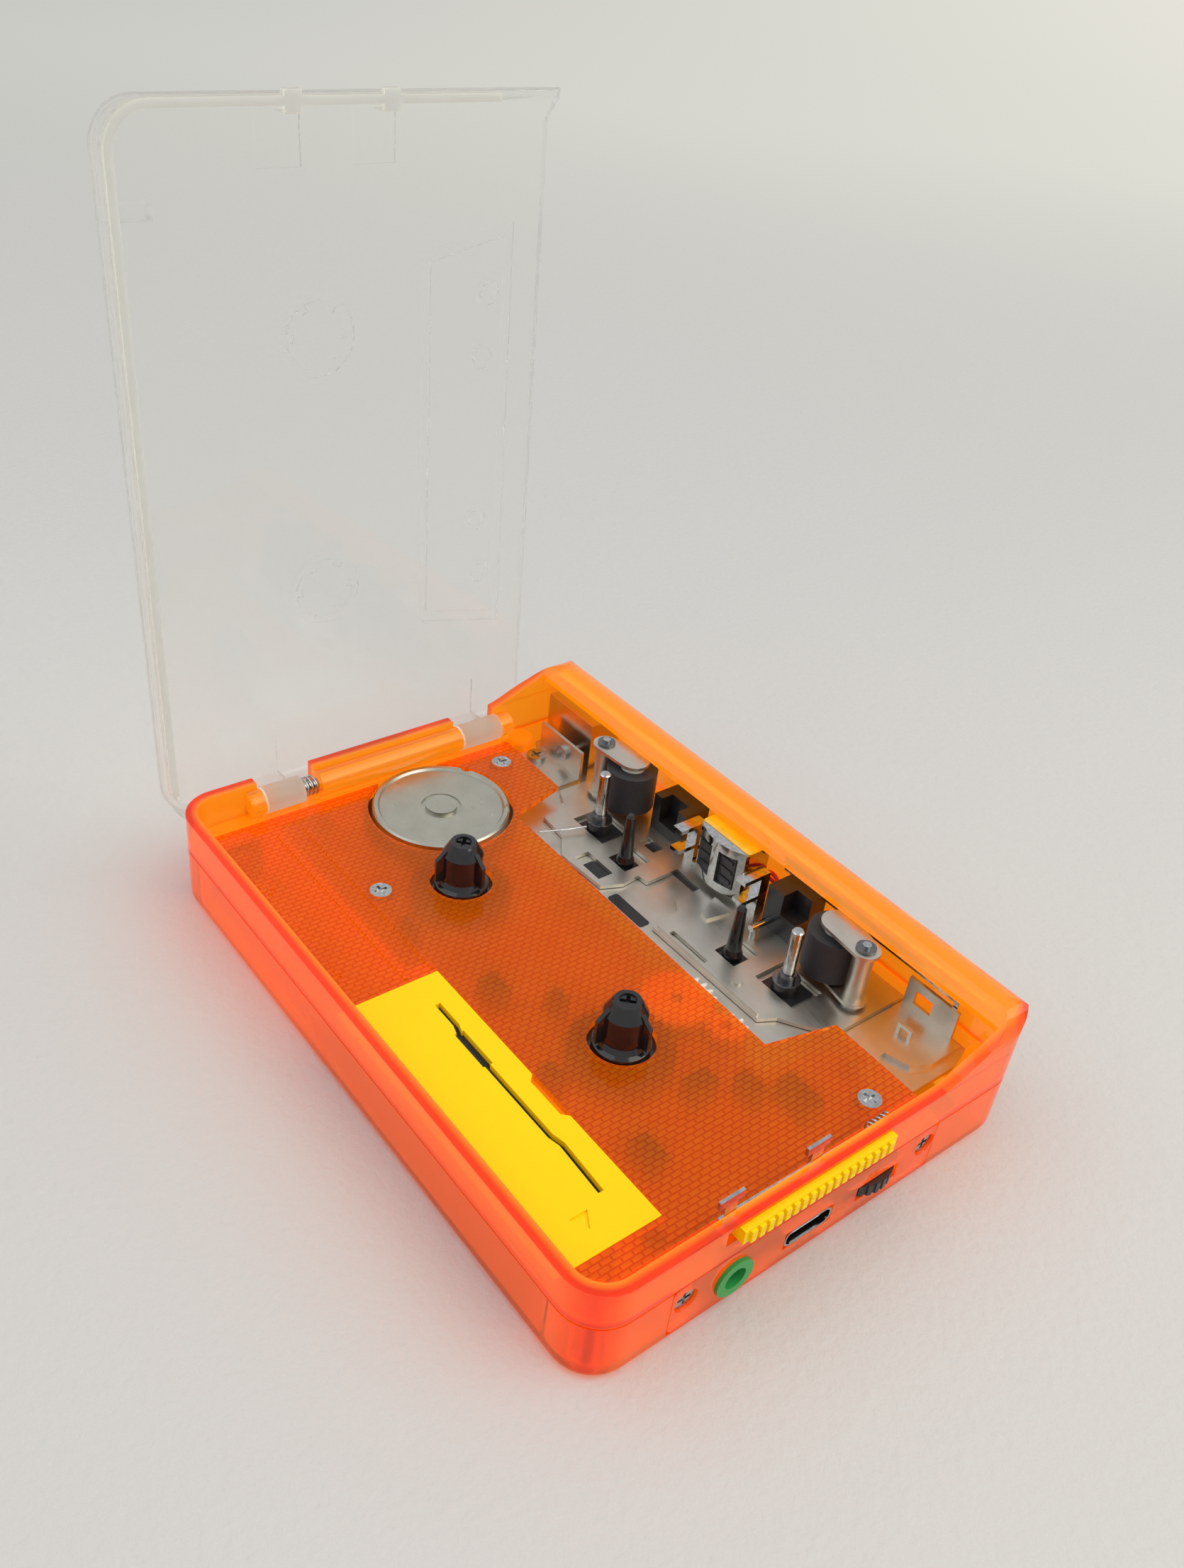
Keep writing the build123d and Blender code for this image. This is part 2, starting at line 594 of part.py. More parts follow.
def hinge_pin():
    return bar_y(HINGE_X, HINGE_Z, BARRELS[0][0] + 0.8, BARRELS[-1][1], HINGE_PIN_R)


def lid_spring():
    wire_r = 0.2
    return coil_along_y(HINGE_X, HINGE_Z, BARRELS[1][0] - 0.35 - 2.475, 0.825, 3, 1.6, radians(-90),
                        1.4, 0, wire_r, "lid_spring")


def deck_plate():
    """The moulded tray floor that the cassette lies on."""
    x0, x1 = 4.3 - INNER_X, INNER_X - 1.6
    beside_motor = radians(48.7)
    outline = [
        (x0, 0.3 - INNER_Y),
        (x1, 0.3 - INNER_Y),
        (x1, REEL_Y + 29.55),
        (REEL_X + 36.2, REEL_Y + 29.85),
        (REEL_X + 33.3, REEL_Y + 17.65),
        (MOTOR_X + (MOTOR_R + 1.08) * cos(beside_motor), MOTOR_Y + (MOTOR_R + 1.08) * sin(beside_motor)),
        (MOTOR_X + 5.5, REEL_Y + 30.05),
        (x0, REEL_Y + 30.35),
    ]
    plate = slab(outline, DECK_LOW_Z, DECK_Z)
    plate &= rounded(-INNER_X + FIT, INNER_X - FIT, -INNER_Y + FIT, INNER_Y, DECK_LOW_Z, DECK_Z, CORNER - WALL)
    for x in REELS_X:
        plate += ring(x, REEL_Y, DECK_LOW_Z, DECK_Z + 0.25, DECK_HOLE_R + 0.7, DECK_HOLE_R)
        plate -= disc(x, REEL_Y, DECK_LOW_Z - 1, DECK_Z + 1, DECK_HOLE_R)
    plate -= disc(MOTOR_X, MOTOR_Y, DECK_LOW_Z - 1, DECK_Z + 1, MOTOR_R + MOTOR_GAP)
    plate -= box(DOOR_X[0] - 0.1, DOOR_X[1] + 0.1, -INNER_Y - 1, DOOR_Y + 0.1, DECK_LOW_Z - 1, DECK_Z + 1)
    for x, y in DECK_SCREWS:
        plate += disc(x, y, CHASSIS_Z, DECK_LOW_Z, BOSS_R)
        plate -= disc(x, y, DECK_Z - SCREW_HEAD_T - 0.1, DECK_Z + 1, SCREW_HEAD_R + FIT)
        plate -= disc(x, y, CHASSIS_Z - 1, DECK_Z, SCREW_R + RUN)
    for y in (DOOR_Y - 0.4, DOOR_Y - 5.1):
        plate += box(9.5 - INNER_X, DOOR_X[0] - 0.7, y - 0.25, y + 0.25, DECK_Z - 0.1, DECK_Z + 0.3)
    mark_y = 5.4 - HALF_WIDTH
    plus_x, minus_x = DOOR_X[0] - 29.9, DOOR_X[0] - 7.9
    for x, half_x, half_y in ((plus_x, 1.5, 0.25), (plus_x, 0.25, 1.5), (minus_x, 1.5, 0.25)):
        plate += box(x - half_x, x + half_x, mark_y - half_y, mark_y + half_y, DECK_Z - 0.1, DECK_Z + 0.2)
    return plate


def battery_door():
    """The yellow cover of the battery bay, with its stepped slot and an arrow."""
    x0, x1 = DOOR_X
    outline = [
        (x0, 0.5 - INNER_Y),
        (x1, 0.5 - INNER_Y),
        (x1, DOOR_Y),
        (x1 - 19.5, DOOR_Y),
        (x1 - 20.5, DOOR_Y - 1),
        (x1 - 27.5, DOOR_Y - 1),
        (x1 - 28.5, DOOR_Y),
        (x0, DOOR_Y),
    ]
    door = slab(outline, DECK_LOW_Z, DECK_Z)
    y = DOOR_Y - 3.8
    steps = [
        (x0 + 6, y),
        (x0 + 11, y),
        (x0 + 13, y - 0.6),
        (x0 + 35, y - 0.6),
        (x0 + 37, y - 0.1),
        (x0 + 46, y - 0.5),
    ]
    door -= Pos(0, 0, DECK_LOW_Z - 1) * extrude(trace(Polyline(*steps), 0.9), DECK_T + 2)
    door -= box(x0 + 12.5, x0 + 20, y - 1.3, y + 0.3, DECK_LOW_Z - 1, DECK_Z + 1)
    arrow = [(x1 - 6, DOOR_Y - 7.5), (x1 - 6, DOOR_Y - 10.5), (x1 - 3.4, DOOR_Y - 9)]
    door -= slab(arrow, DECK_Z - 0.3, DECK_Z + 1)
    return door


def battery_contacts():
    """A sprung plate at each end of the battery bay."""
    contacts = []
    y = (BAY_Y - INNER_Y) / 2
    for x, way in ((BAY_X[0], 1), (BAY_X[1], -1)):
        x0, x1 = sorted((x, x + way * 0.4))
        plate = box(x0, x1, y - 4, y + 4, 2.2, SPLIT_Z - 0.5)
        cone = Rot(0, 90 * way, 0) * Cone(2.6, 1.4, 1.8)
        contacts.append(plate + Pos(x + way * 1.2, y, 6.3) * cone)
    return Compound(contacts)


def chassis_plate():
    """The steel frame that carries the transport."""
    x0, x1, y1 = 2.7 - INNER_X, INNER_X - 5.0, INNER_Y - 0.8
    boss_y = SIDE_SCREW[1]
    outline = [
        (x0, DOOR_Y + 0.6),
        (x1, DOOR_Y + 0.6),
        (x1, y1 - 4.8),
        (x1 - 1.5, y1),
        (x0 + 0.8, y1),
        (x0, y1 - 0.8),
        (x0, boss_y + 4),
        (x0 + 2.6, boss_y + 3),
        (x0 + 2.6, boss_y - 3),
        (x0, boss_y - 4),
    ]
    plate = slab(outline, CHASSIS_LOW_Z, CHASSIS_Z)
    plate -= disc(MOTOR_X, MOTOR_Y, 0, DECK_Z, MOTOR_R + 0.2)
    for x in CAPSTANS_X:
        plate -= disc(x, CAPSTAN_Y, 0, DECK_Z, CAPSTAN_R + 0.3)
    plate -= disc(*clutch_centre(), 0, DECK_Z, 2.4)
    for x, y in CHASSIS_SCREWS + (BRACKET_SCREW,):
        plate -= disc(x, y, 0, DECK_Z, SCREW_R + FIT)
    for x, y in DECK_SCREWS:
        plate -= disc(x, y, 0, DECK_Z, SCREW_R + FIT)
    for x0, x1 in ((-14, -2), (5, 16)):
        plate -= box(x0, x1, DOOR_Y + 3, DOOR_Y + 10, 0, DECK_Z)
    plate -= box(-10, 4, REEL_Y + 10, REEL_Y + 17, 0, DECK_Z)
    return plate


def reel_spindle(x, phase):
    """A reel hub: gear, flange, finned body, cone and a cross in the top."""
    bore = 1.0 + RUN
    profile = [
        (0, GEAR_Z[0]),
        (4.2, GEAR_Z[0]),
        (4.2, GEAR_Z[1] + 0.3),
        (4.5, DECK_Z - 0.5),
        (4.5, DECK_Z + 0.1),
        (REEL_BODY_R + 0.5, DECK_Z + 0.4),
        (REEL_BODY_R, DECK_Z + 1.2),
        (REEL_BODY_R, REEL_TOP_Z - 2.2),
        (REEL_TOP_R + 0.25, REEL_TOP_Z - 0.35),
        (REEL_TOP_R, REEL_TOP_Z),
        (0, REEL_TOP_Z),
    ]
    hub = turned(x, REEL_Y, profile)
    hub += gear(x, REEL_Y, *GEAR_Z, REEL_TEETH, phase)
    fin = [
        (0, DECK_Z + 1.0),
        (4.6, DECK_Z + 1.0),
        (4.6, REEL_TOP_Z - 3.2),
        (REEL_BODY_R - 0.4, REEL_TOP_Z - 1.2),
        (0, REEL_TOP_Z - 1.2),
    ]
    blade = extrude(Plane.XZ * make_face(Polyline(*fin, close=True)), 0.4, both=True)
    for i in range(3):
        hub += Pos(x, REEL_Y, 0) * Rot(0, 0, 120 * i + 15) * blade
    top = REEL_TOP_Z
    hub -= disc(x, REEL_Y, top - 0.25, top + 1, 1.35)
    for turn in (45, 135):
        slot = box(-1.2, 1.2, -0.3, 0.3, top - 0.9, top + 1)
        hub -= Pos(x, REEL_Y, 0) * Rot(0, 0, turn) * slot
    hub -= disc(x, REEL_Y, GEAR_Z[0] - 1, REEL_TOP_Z - 1.9, bore)
    return hub


def clutch_centre():
    reach = MODULE * (PINION_TEETH + CLUTCH_TEETH) / 2
    angle = radians(CLUTCH_ANGLE)
    return (CAPSTANS_X[1] + reach * cos(angle), CAPSTAN_Y + reach * sin(angle))


def idler_centre():
    to_clutch = MODULE * (CLUTCH_PINION_TEETH + IDLER_TEETH) / 2
    to_reel = MODULE * (IDLER_TEETH + REEL_TEETH) / 2
    reel = (REELS_X[1], REEL_Y)
    return meeting_point(reel, to_reel, clutch_centre(), to_clutch)


def capstan(x, pinion):
    """A capstan shaft with its flywheel, and a pinion where it drives the reels."""
    low, high = FLYWHEEL_Z
    profile = [
        (0, low),
        (FLYWHEEL_R, low),
        (FLYWHEEL_R, high),
        (FLYWHEEL_R - 2, high),
        (FLYWHEEL_R - 3, high - 1.2),
        (4.5, high - 1.2),
        (3, high),
        (0, high),
    ]
    piece = disc(x, CAPSTAN_Y, FLOOR + 0.35, CAPSTAN_TOP_Z, CAPSTAN_R) + turned(x, CAPSTAN_Y, profile)
    if pinion:
        piece += disc(x, CAPSTAN_Y, high, LOW_GEAR_Z[0], 2.4)
        piece += gear(x, CAPSTAN_Y, LOW_GEAR_Z[0] - 0.1, LOW_GEAR_Z[1] + 0.1, PINION_TEETH, 0)
    return chamfer(piece.edges().sort_by(Axis.Z)[-1], 0.2)


def clutch_gear():
    x, y = clutch_centre()
    phase = mesh_phase((CAPSTANS_X[1], CAPSTAN_Y), PINION_TEETH, 0, (x, y), CLUTCH_TEETH)
    piece = gear(x, y, *LOW_GEAR_Z, CLUTCH_TEETH, phase)
    piece += disc(x, y, LOW_GEAR_Z[1], GEAR_Z[0], 2.0)
    piece += gear(x, y, *GEAR_Z, CLUTCH_PINION_TEETH, 0)
    return piece - disc(x, y, 0, DECK_Z, 0.8 + RUN)


def idler_phase():
    return mesh_phase(clutch_centre(), CLUTCH_PINION_TEETH, 0, idler_centre(), IDLER_TEETH)


def idler_gear():
    x, y = idler_centre()
    piece = gear(x, y, *GEAR_Z, IDLER_TEETH, idler_phase())
    piece += disc(x, y, CHASSIS_Z + 0.2, GEAR_Z[0], 2.0)
    return piece - disc(x, y, 0, DECK_Z, 0.8 + RUN)


def axle_pins():
    """The fixed pins that the reels, the clutch gear and the idler turn on."""
    pins = [disc(x, REEL_Y, CHASSIS_Z, REEL_TOP_Z - 2.1, 1.0) for x in REELS_X]
    pins.append(disc(*clutch_centre(), 3, DECK_LOW_Z - 0.2, 0.8))
    pins.append(disc(*idler_centre(), CHASSIS_Z, DECK_LOW_Z - 0.2, 0.8))
    return Compound(pins)


def bearing_housings():
    """The black plastic feet of the two capstan bearings."""
    return Compound([ring(x, CAPSTAN_Y, CHASSIS_Z, 11.5, 2.15, 1.4) for x in CAPSTANS_X])


def bearing_collars():
    """The bright stepped bushes on top of the feet."""
    collars = []
    for x in CAPSTANS_X:
        collar = ring(x, CAPSTAN_Y, COLLAR_Z[0], COLLAR_Z[1], COLLAR_R, CAPSTAN_R + RUN)
        collars.append(collar + ring(x, CAPSTAN_Y, COLLAR_Z[1], COLLAR_Z[2], COLLAR_TOP_R, CAPSTAN_R + RUN))
    return Compound(collars)


def locating_cones():
    """The two black posts that locate the cassette."""
    low, top = CHASSIS_Z, CONE_TOP_Z
    profile = [(0, low), (1.65, low), (1.65, low + 1.2), (1.3, low + 2.2), (0.8, top - 0.5), (0.5, top), (0, top)]
    return Compound([turned(x, CONE_Y, profile) for x in CONES_X])


def head_plate():
    """The sliding steel plate that carries the head and the pinch arms."""
    low, top = HEAD_PLATE_LOW_Z, HEAD_PLATE_Z
    outline = [
        (-36.2, 46.65),
        (-36.2, 32.05),
        (-33.0, 30.55),
        (-31.7, 25.85),
        (-31.1, 24.65),
        (-25.2, 24.25),
        (-20.6, 20.85),
        (-10.4, 21.45),
        (-8.8, 25.25),
        (-9.2, 28.85),
        (-7.0, 29.05),
        (-7.1, 35.95),
        (-1.0, 35.95),
        (-0.8, 30.25),
        (1.4, 28.75),
        (2.3, 22.45),
        (27.4, 22.65),
        (28.9, 25.55),
        (33.4, 28.65),
        (36.3, 32.25),
        (36.3, 46.65),
    ]
    plate = Pos(0, REEL_Y, 0) * slab(outline, low, top)
    for x in CAPSTANS_X:
        plate -= box(x - 4.3, x + 4.3, CAPSTAN_Y - 2.45, CAPSTAN_Y + 4.1, low - 1, top + 1)
    for x in CONES_X:
        plate -= box(x - 2.3, x + 2.3, CONE_Y - 1.85, CONE_Y + 3.8, low - 1, top + 1)
    for x0, x1, y0, y1 in ((-19.0, -12.0, 22.35, 25.45), (-16.8, -12.8, 35.25, 37.65), (5.0, 13.5, 23.75, 24.85)):
        plate -= box(x0, x1, REEL_Y + y0, REEL_Y + y1, low - 1, top + 1)
    plate += Pos(0, HEAD_Y, 0) * slab([(2.4, -0.4), (4.2, -5.2), (6.0, -5.5), (7.0, -0.4)], top, top + 0.5)
    plate += disc(19.5, REEL_Y + 25.65, top, top + 0.4, 1.0)
    return plate + box(3.0, 27.0, REEL_Y + 22.85, REEL_Y + 23.25, top, top + 0.6)


def playback_head():
    """The folded steel shield of the head on its foot."""
    low, high = HEAD_PLATE_Z + 1.2, 20.5
    x0, x1 = HEAD_X
    shoulder, back = HEAD_Y + 1.8, HEAD_Y + 7.4
    front = ThreePointArc((x0, shoulder), ((x0 + x1) / 2, HEAD_Y), (x1, shoulder))
    sides = Polyline((x1, shoulder), (x1, back), (x0, back), (x0, shoulder))
    shield = Pos(0, 0, low) * extrude(make_face([front, sides]), high - low)
    for left, right in HEAD_WINDOWS:
        shield -= box(left, right, HEAD_Y - 0.6, HEAD_Y + 1.3, 12.6, 18.9)
    shield -= box(x0 + 0.8, x1 - 0.8, HEAD_Y + 2.2, back + 0.5, low - 1, high - 0.5)
    return shield + box(x0 - 1.2, x1 + 1.2, HEAD_Y + 2.0, back, HEAD_PLATE_Z, low)


def head_core():
    """The black resin face in the two windows of the head, with its pole lines."""
    bars = []
    for x0, x1 in HEAD_WINDOWS:
        core = box(x0 + 0.05, x1 - 0.05, HEAD_Y + 0.75, HEAD_Y + 1.3, 12.65, 18.85)
        for z in (13.6, 15.6, 17.6):
            core += box(x0 + 0.5, x1 - 0.5, HEAD_Y + 0.55, HEAD_Y + 0.75, z, z + 0.6)
        bars.append(core)
    return Compound(bars)


def tape_guides():
    """The two forks beside the head that steer the tape, and the small roller at the right block."""
    lever_x = HEAD_X[1] + 7.4
    lever = bar_y(lever_x, 12.0, HEAD_Y - 2.4, HEAD_Y + 2.4, 0.6)
    forks = [lever + disc(lever_x, HEAD_Y - 1.6, HEAD_PLATE_Z, 11.8, 0.6)]
    for x in (HEAD_X[0] - 2.5, HEAD_X[1] + 2.5):
        fork = box(x - 1.1, x + 1.1, HEAD_Y + 2.4, HEAD_Y + 4.4, HEAD_PLATE_Z, 18.4)
        for z in (13.4, 17.6):
            fork += box(x - 1.1, x + 1.1, HEAD_Y - 1.4, HEAD_Y + 2.4, z, z + 0.8)
        forks.append(fork)
    return Compound(forks)


def guide_blocks():
    """The black moulded blocks behind the head plate."""
    back = HEAD_Y + 9.0
    left = box(-19.4, -11.0, HEAD_Y + 3.4, back, HEAD_PLATE_Z, 17.0)
    left -= box(-17.5, -13.0, HEAD_Y + 2.4, back - 3.1, 12.0, 18.0)
    right = box(11.0, 18.0, HEAD_Y + 2.4, back, HEAD_PLATE_Z, 18.0)
    right -= box(14.5, 19.0, HEAD_Y + 1.4, back - 3.6, 14.0, 19.0)
    return Compound([left, right])


def pinch_arm(side):
    """A two-plate arm on its sleeve, with the roller's shaft."""
    pivot = (ARMS_X[side], ARM_Y)
    tip = (ROLLERS_X[side], ROLLER_Y)
    bore = ARM_PIN_R + RUN
    low = HEAD_PLATE_Z + 0.8
    arm = bridge(pivot, 2.4, tip, 2.2, low, low + 0.6)
    arm += bridge(pivot, 2.4, tip, 2.9, ROLLER_TOP_Z + 1.0, ROLLER_TOP_Z + 1.6)
    arm += disc(*pivot, low, ROLLER_TOP_Z + 1.0, 1.7)
    arm += disc(*tip, low, ROLLER_TOP_Z + 1.6, 0.55)
    return arm - disc(*pivot, 0, 30, bore)


def pinch_roller(side):
    """The rubber tyre."""
    return ring(ROLLERS_X[side], ROLLER_Y, ROLLER_LOW_Z, ROLLER_TOP_Z, ROLLER_R, 1.5)


def roller_hub(side):
    """The white hub inside the tyre, with its top flange."""
    x = ROLLERS_X[side]
    hub = disc(x, ROLLER_Y, ROLLER_LOW_Z - 0.3, ROLLER_TOP_Z, 1.5)
    hub += disc(x, ROLLER_Y, ROLLER_TOP_Z, ROLLER_TOP_Z + 0.8, 2.2)
    return hub - disc(x, ROLLER_Y, 0, 30, 0.55 + RUN)


def arm_pins():
    """The upright pins of the pinch arms with their foot discs and clips."""
    pins = []
    clip_z = ROLLER_TOP_Z + 1.65
    for x in ARMS_X:
        pin = disc(x, ARM_Y, HEAD_PLATE_Z, clip_z + 0.85, ARM_PIN_R)
        pin += disc(x, ARM_Y, HEAD_PLATE_Z, HEAD_PLATE_Z + 0.6, 1.75)
        pins.append(pin)
    return Compound(pins)


def arm_clips():
    clip_z = ROLLER_TOP_Z + 1.65
    return Compound([ring(x, ARM_Y, clip_z, clip_z + 0.35, 1.6, ARM_PIN_R) for x in ARMS_X])


def motor_can():
    low, high, rim = MOTOR_LOW_Z, DECK_Z, DECK_Z + 0.4
    profile = [
        (0, low),
        (MOTOR_R - 0.6, low),
        (MOTOR_R, low + 0.6),
        (MOTOR_R, rim - 0.3),
        (MOTOR_R - 0.3, rim),
        (MOTOR_R - 1.0, rim),
        (MOTOR_R - 1.3, high),
        (3.6, high),
        (3.6, high - 0.3),
        (2.8, high - 0.3),
        (2.8, rim),
        (0, rim),
    ]
    can = turned(MOTOR_X, MOTOR_Y, profile)
    for angle in (55, 125):
        x = MOTOR_X + MOTOR_R * cos(radians(angle))
        y = MOTOR_Y + MOTOR_R * sin(radians(angle))
        can -= disc(x, y, high - 0.4, high + 1, 1.0)
    return can - disc(MOTOR_X, MOTOR_Y, MOTOR_LOW_Z - 1, MOTOR_LOW_Z + 3, 0.8 + RUN)


def motor_collar():
    """The rubber ring that holds the motor in the frame."""
    collar = ring(MOTOR_X, MOTOR_Y, CHASSIS_Z, CHASSIS_Z + 0.8, MOTOR_R + 1.4, MOTOR_R)
    return collar - box(-HALF_LENGTH, 1.4 - INNER_X, -INNER_Y, INNER_Y, 0, DECK_Z)


def motor_pulley():
    """The motor's shaft end and grooved pulley."""
    z0, z1 = BELT_Z
    flange_r = PULLEY_R + 0.8
    profile = [
        (0, z0 - 0.4),
        (flange_r, z0 - 0.4),
        (flange_r, z0 - 0.15),
        (PULLEY_R, z0 - 0.15),
        (PULLEY_R, z1 + 0.15),
        (flange_r, z1 + 0.15),
        (flange_r, z1 + 0.4),
        (0, z1 + 0.4),
    ]
    shaft = disc(MOTOR_X, MOTOR_Y, 1.4, MOTOR_LOW_Z + 2.8, 0.8)
    return shaft + turned(MOTOR_X, MOTOR_Y, profile)


def drive_belt():
    """The flat belt: round the motor pulley and right flywheel, with its back on the left one."""
    half = BELT_T / 2
    wheels = [
        ((MOTOR_X, MOTOR_Y), PULLEY_R + BELT_GAP + half, 1),
        ((CAPSTANS_X[1], CAPSTAN_Y), FLYWHEEL_R + BELT_GAP + half, 1),
        ((CAPSTANS_X[0], CAPSTAN_Y), FLYWHEEL_R + BELT_GAP + half, -1),
    ]
    joins = []
    for i in range(3):
        (c1, r1, s1) = wheels[i]
        (c2, r2, s2) = wheels[(i + 1) % 3]
        length = hypot(c2[0] - c1[0], c2[1] - c1[1])
        line = atan2(c2[1] - c1[1], c2[0] - c1[0]) - asin((s2 * r2 - s1 * r1) / length)
        across, along = sin(line), cos(line)
        leave = (c1[0] + s1 * r1 * across, c1[1] - s1 * r1 * along)
        arrive = (c2[0] + s2 * r2 * across, c2[1] - s2 * r2 * along)
        joins.append((leave, arrive))
    edges = []
    for i in range(3):
        (centre, r, way) = wheels[i]
        arrive = joins[i - 1][1]
        leave = joins[i][0]
        a0 = atan2(arrive[1] - centre[1], arrive[0] - centre[0])
        a1 = atan2(leave[1] - centre[1], leave[0] - centre[0])
        sweep_angle = (a1 - a0) % (2 * pi) if way > 0 else -((a0 - a1) % (2 * pi))
        half_way = a0 + sweep_angle / 2
        middle = (centre[0] + r * cos(half_way), centre[1] + r * sin(half_way))
        edges.append(ThreePointArc(arrive, middle, leave))
        edges.append(Line(leave, joins[i][1]))
    loop = Wire(edges)
    outer = make_face(offset(loop, half))
    inner = make_face(offset(loop, -half))
    big, small = (outer, inner) if outer.area > inner.area else (inner, outer)
    return Pos(0, 0, BELT_Z[0]) * extrude(big - small, BELT_Z[1] - BELT_Z[0])


def shield_can():
    """The folded steel box at the hinge end of the mechanism."""
    x0, y1, top, steel = 4.0 - INNER_X, INNER_Y - 0.8, 20.2, 0.5
    x1, y0 = x0 + 13.2, y1 - 6.8
    can = box(x0, x1, y0, y1, CHASSIS_Z, top)
    return can - box(x0 + steel, x1 - steel, y0 + steel, y1 - steel, CHASSIS_Z - 1, top - steel)


def shield_bracket():
    """The angle bracket in front of the steel box."""
    x0, x1 = BRACKET_X
    foot = box(x0, x1, BRACKET_Y - 4.8, BRACKET_Y + 0.6, CHASSIS_Z, CHASSIS_Z + 0.7)
    upright = box(x0, x1, BRACKET_Y, BRACKET_Y + 0.6, CHASSIS_Z, 15.5)
    bracket = foot + upright - disc(*BRACKET_SCREW, CHASSIS_Z - 1, CHASSIS_Z + 2, SCREW_R + FIT)
    return bracket - bar_y(x0 + 7.4, SIDE_SCREW_Z, BRACKET_Y - 1, BRACKET_Y + 1, 0.7)


def chassis_screws():
    """The frame's screws and the two of the angle bracket."""
    x, y = BRACKET_SCREW
    screws = [screw_up(*place, CHASSIS_Z, 5) for place in CHASSIS_SCREWS]
    screws.append(screw_up(x, y, CHASSIS_Z + 0.7, 5))
    side_screw = disc(0, 0, 0, 0.7, 1.5) + disc(0, 0, -2.4, 0, 0.6)
    screws.append(Pos(BRACKET_X[0] + 7.4, BRACKET_Y, SIDE_SCREW_Z) * Rot(90, 0, 0) * side_screw)
    return Compound(screws)


def corner_bracket():
    """The stamped corner piece with its upright flange and staple."""
    outline = [(0, 0), (6.0, 0), (6.0, 4.0), (10.0, 5.3), (11.5, 8.6), (11.5, 15.3), (0, 15.3)]
    piece = slab(outline, CHASSIS_Z, HEAD_PLATE_Z) + box(0, 9.8, 14.7, 15.3, HEAD_PLATE_Z, 15.5)
    piece -= box(1.8, 5.2, 14.6, 15.4, 11.2, 13.8)
    piece += box(3.6, 6.4, 9.2, 9.7, HEAD_PLATE_Z, 11.6) - box(4.2, 5.8, 9, 10, HEAD_PLATE_Z - 1, 11.0)
    return Pos(INNER_X - 18.3, INNER_Y - 17.2, 0) * piece


def circuit_board():
    """The board that carries the sockets and the volume control."""
    return box(*BOARD_X, JACK[0] - 4.8, WHEEL[1] + 6.4, *BOARD_Z)


def headphone_jack():
    y, z = JACK
    body = box(INNER_X - 10.3, INNER_X - 0.3, y - 3.2, y + 3.2, BOARD_Z[1], 8.0)
    return body - bar_x(y, z, INNER_X - 9.1, INNER_X, JACK_R)


def jack_ring():
    y, z = JACK
    sleeve = bar_x(y, z, INNER_X - 0.3, HALF_LENGTH + 0.5, JACK_RING_R)
    return sleeve - bar_x(y, z, INNER_X - 1, HALF_LENGTH + 1, JACK_R)


def usb_socket():
    """The flat charging socket: a rolled steel shell with its tongue."""
    w, h = USB_SIZE
    y, z = USB
    x0, x1 = HALF_LENGTH - 7.9, HALF_LENGTH
    outline = Plane.YZ * Pos(y, z) * RectangleRounded(w, h, h / 2 - 0.1)
    hole = Plane.YZ * Pos(y, z) * RectangleRounded(w - 0.7, h - 0.7, h / 2 - 0.5)
    shell = Pos(x0, 0, 0) * extrude(outline, x1 - x0)
    shell -= Pos(x0 + 1, 0, 0) * extrude(hole, x1)
    return shell + box(x0, x1 - 0.6, y - 3, y + 3, z - 0.3, z + 0.3)


def usb_foot():
    """The black block that carries the charging socket on the board."""
    w, h = USB_SIZE
    y, z = USB
    return box(HALF_LENGTH - 7.9, INNER_X - 0.2, y - 4, y + 4, BOARD_Z[1], z - h / 2)


def volume_wheel():
    """The knurled thumb wheel."""
    x, y = WHEEL
    teeth = 30
    wheel = disc(x, y, *WHEEL_Z, WHEEL_R)
    for i in range(teeth):
        a = 2 * pi * i / teeth
        wheel -= disc(x + WHEEL_R * cos(a), y + WHEEL_R * sin(a), WHEEL_Z[0] - 1, WHEEL_Z[1] + 1, 0.3)
    return wheel - disc(x, y, 0, 20, 1.5 + RUN)


def volume_control():
    """The fixed body and post under the wheel."""
    x, y = WHEEL
    base = rounded(x - 5, x + 3.2, y - 4.5, y + 4.5, BOARD_Z[1], WHEEL_Z[0] - 0.2, 1)
    return base + disc(x, y, BOARD_Z[1], WHEEL_Z[1] + 0.3, 1.5)


def release_slider():
    """The ribbed slide knob on the control end."""
    y0, y1 = SLIDER_Y
    z0, z1 = SLIDER_Z
    out = HALF_LENGTH + SLIDER_OUT
    knob = box(INNER_X - 0.1, out - 0.5, y0, y1, z0, z1)
    pitch = (y1 - y0 - 1.2) / 18
    for i in range(18):
        y = y0 + 0.6 + (i + 0.5) * pitch
        for low, high in ((z0 + 0.2, (z0 + z1) / 2 - 0.1), ((z0 + z1) / 2 + 0.1, z1 - 0.2)):
            knob += box(out - 0.6, out, y - pitch * 0.3, y + pitch * 0.3, low, high)
    return knob


def latch_plate():
    """The steel plate behind the knob, with two T hooks for the lid."""
    x0 = LID_END_X + 0.4
    low, top = DECK_Z - 0.8, SLIDER_Z[1] + 0.3
    y0, y1 = SLIDER_Y
    plate = slab_yz([(y0 - 1.7, low), (y1 - 1.7, low), (y1 - 1.7, top - 0.9), (y0 + 1.3, top), (y0 - 1.7, top)], x0)
    for y in HOOKS_Y:
        neck = slab_yz([(y - 1.1, top - 0.9), (y + 1.1, top - 0.9), (y + 1.1, HOOK_TOP_Z), (y - 1.1, HOOK_TOP_Z)], x0)
        bar = box(x0, x0 + PLATE_T, y - HOOK_HALF, y + HOOK_HALF, HOOK_TOP_Z - 1.3, HOOK_TOP_Z)
        plate += neck + bar
    return plate


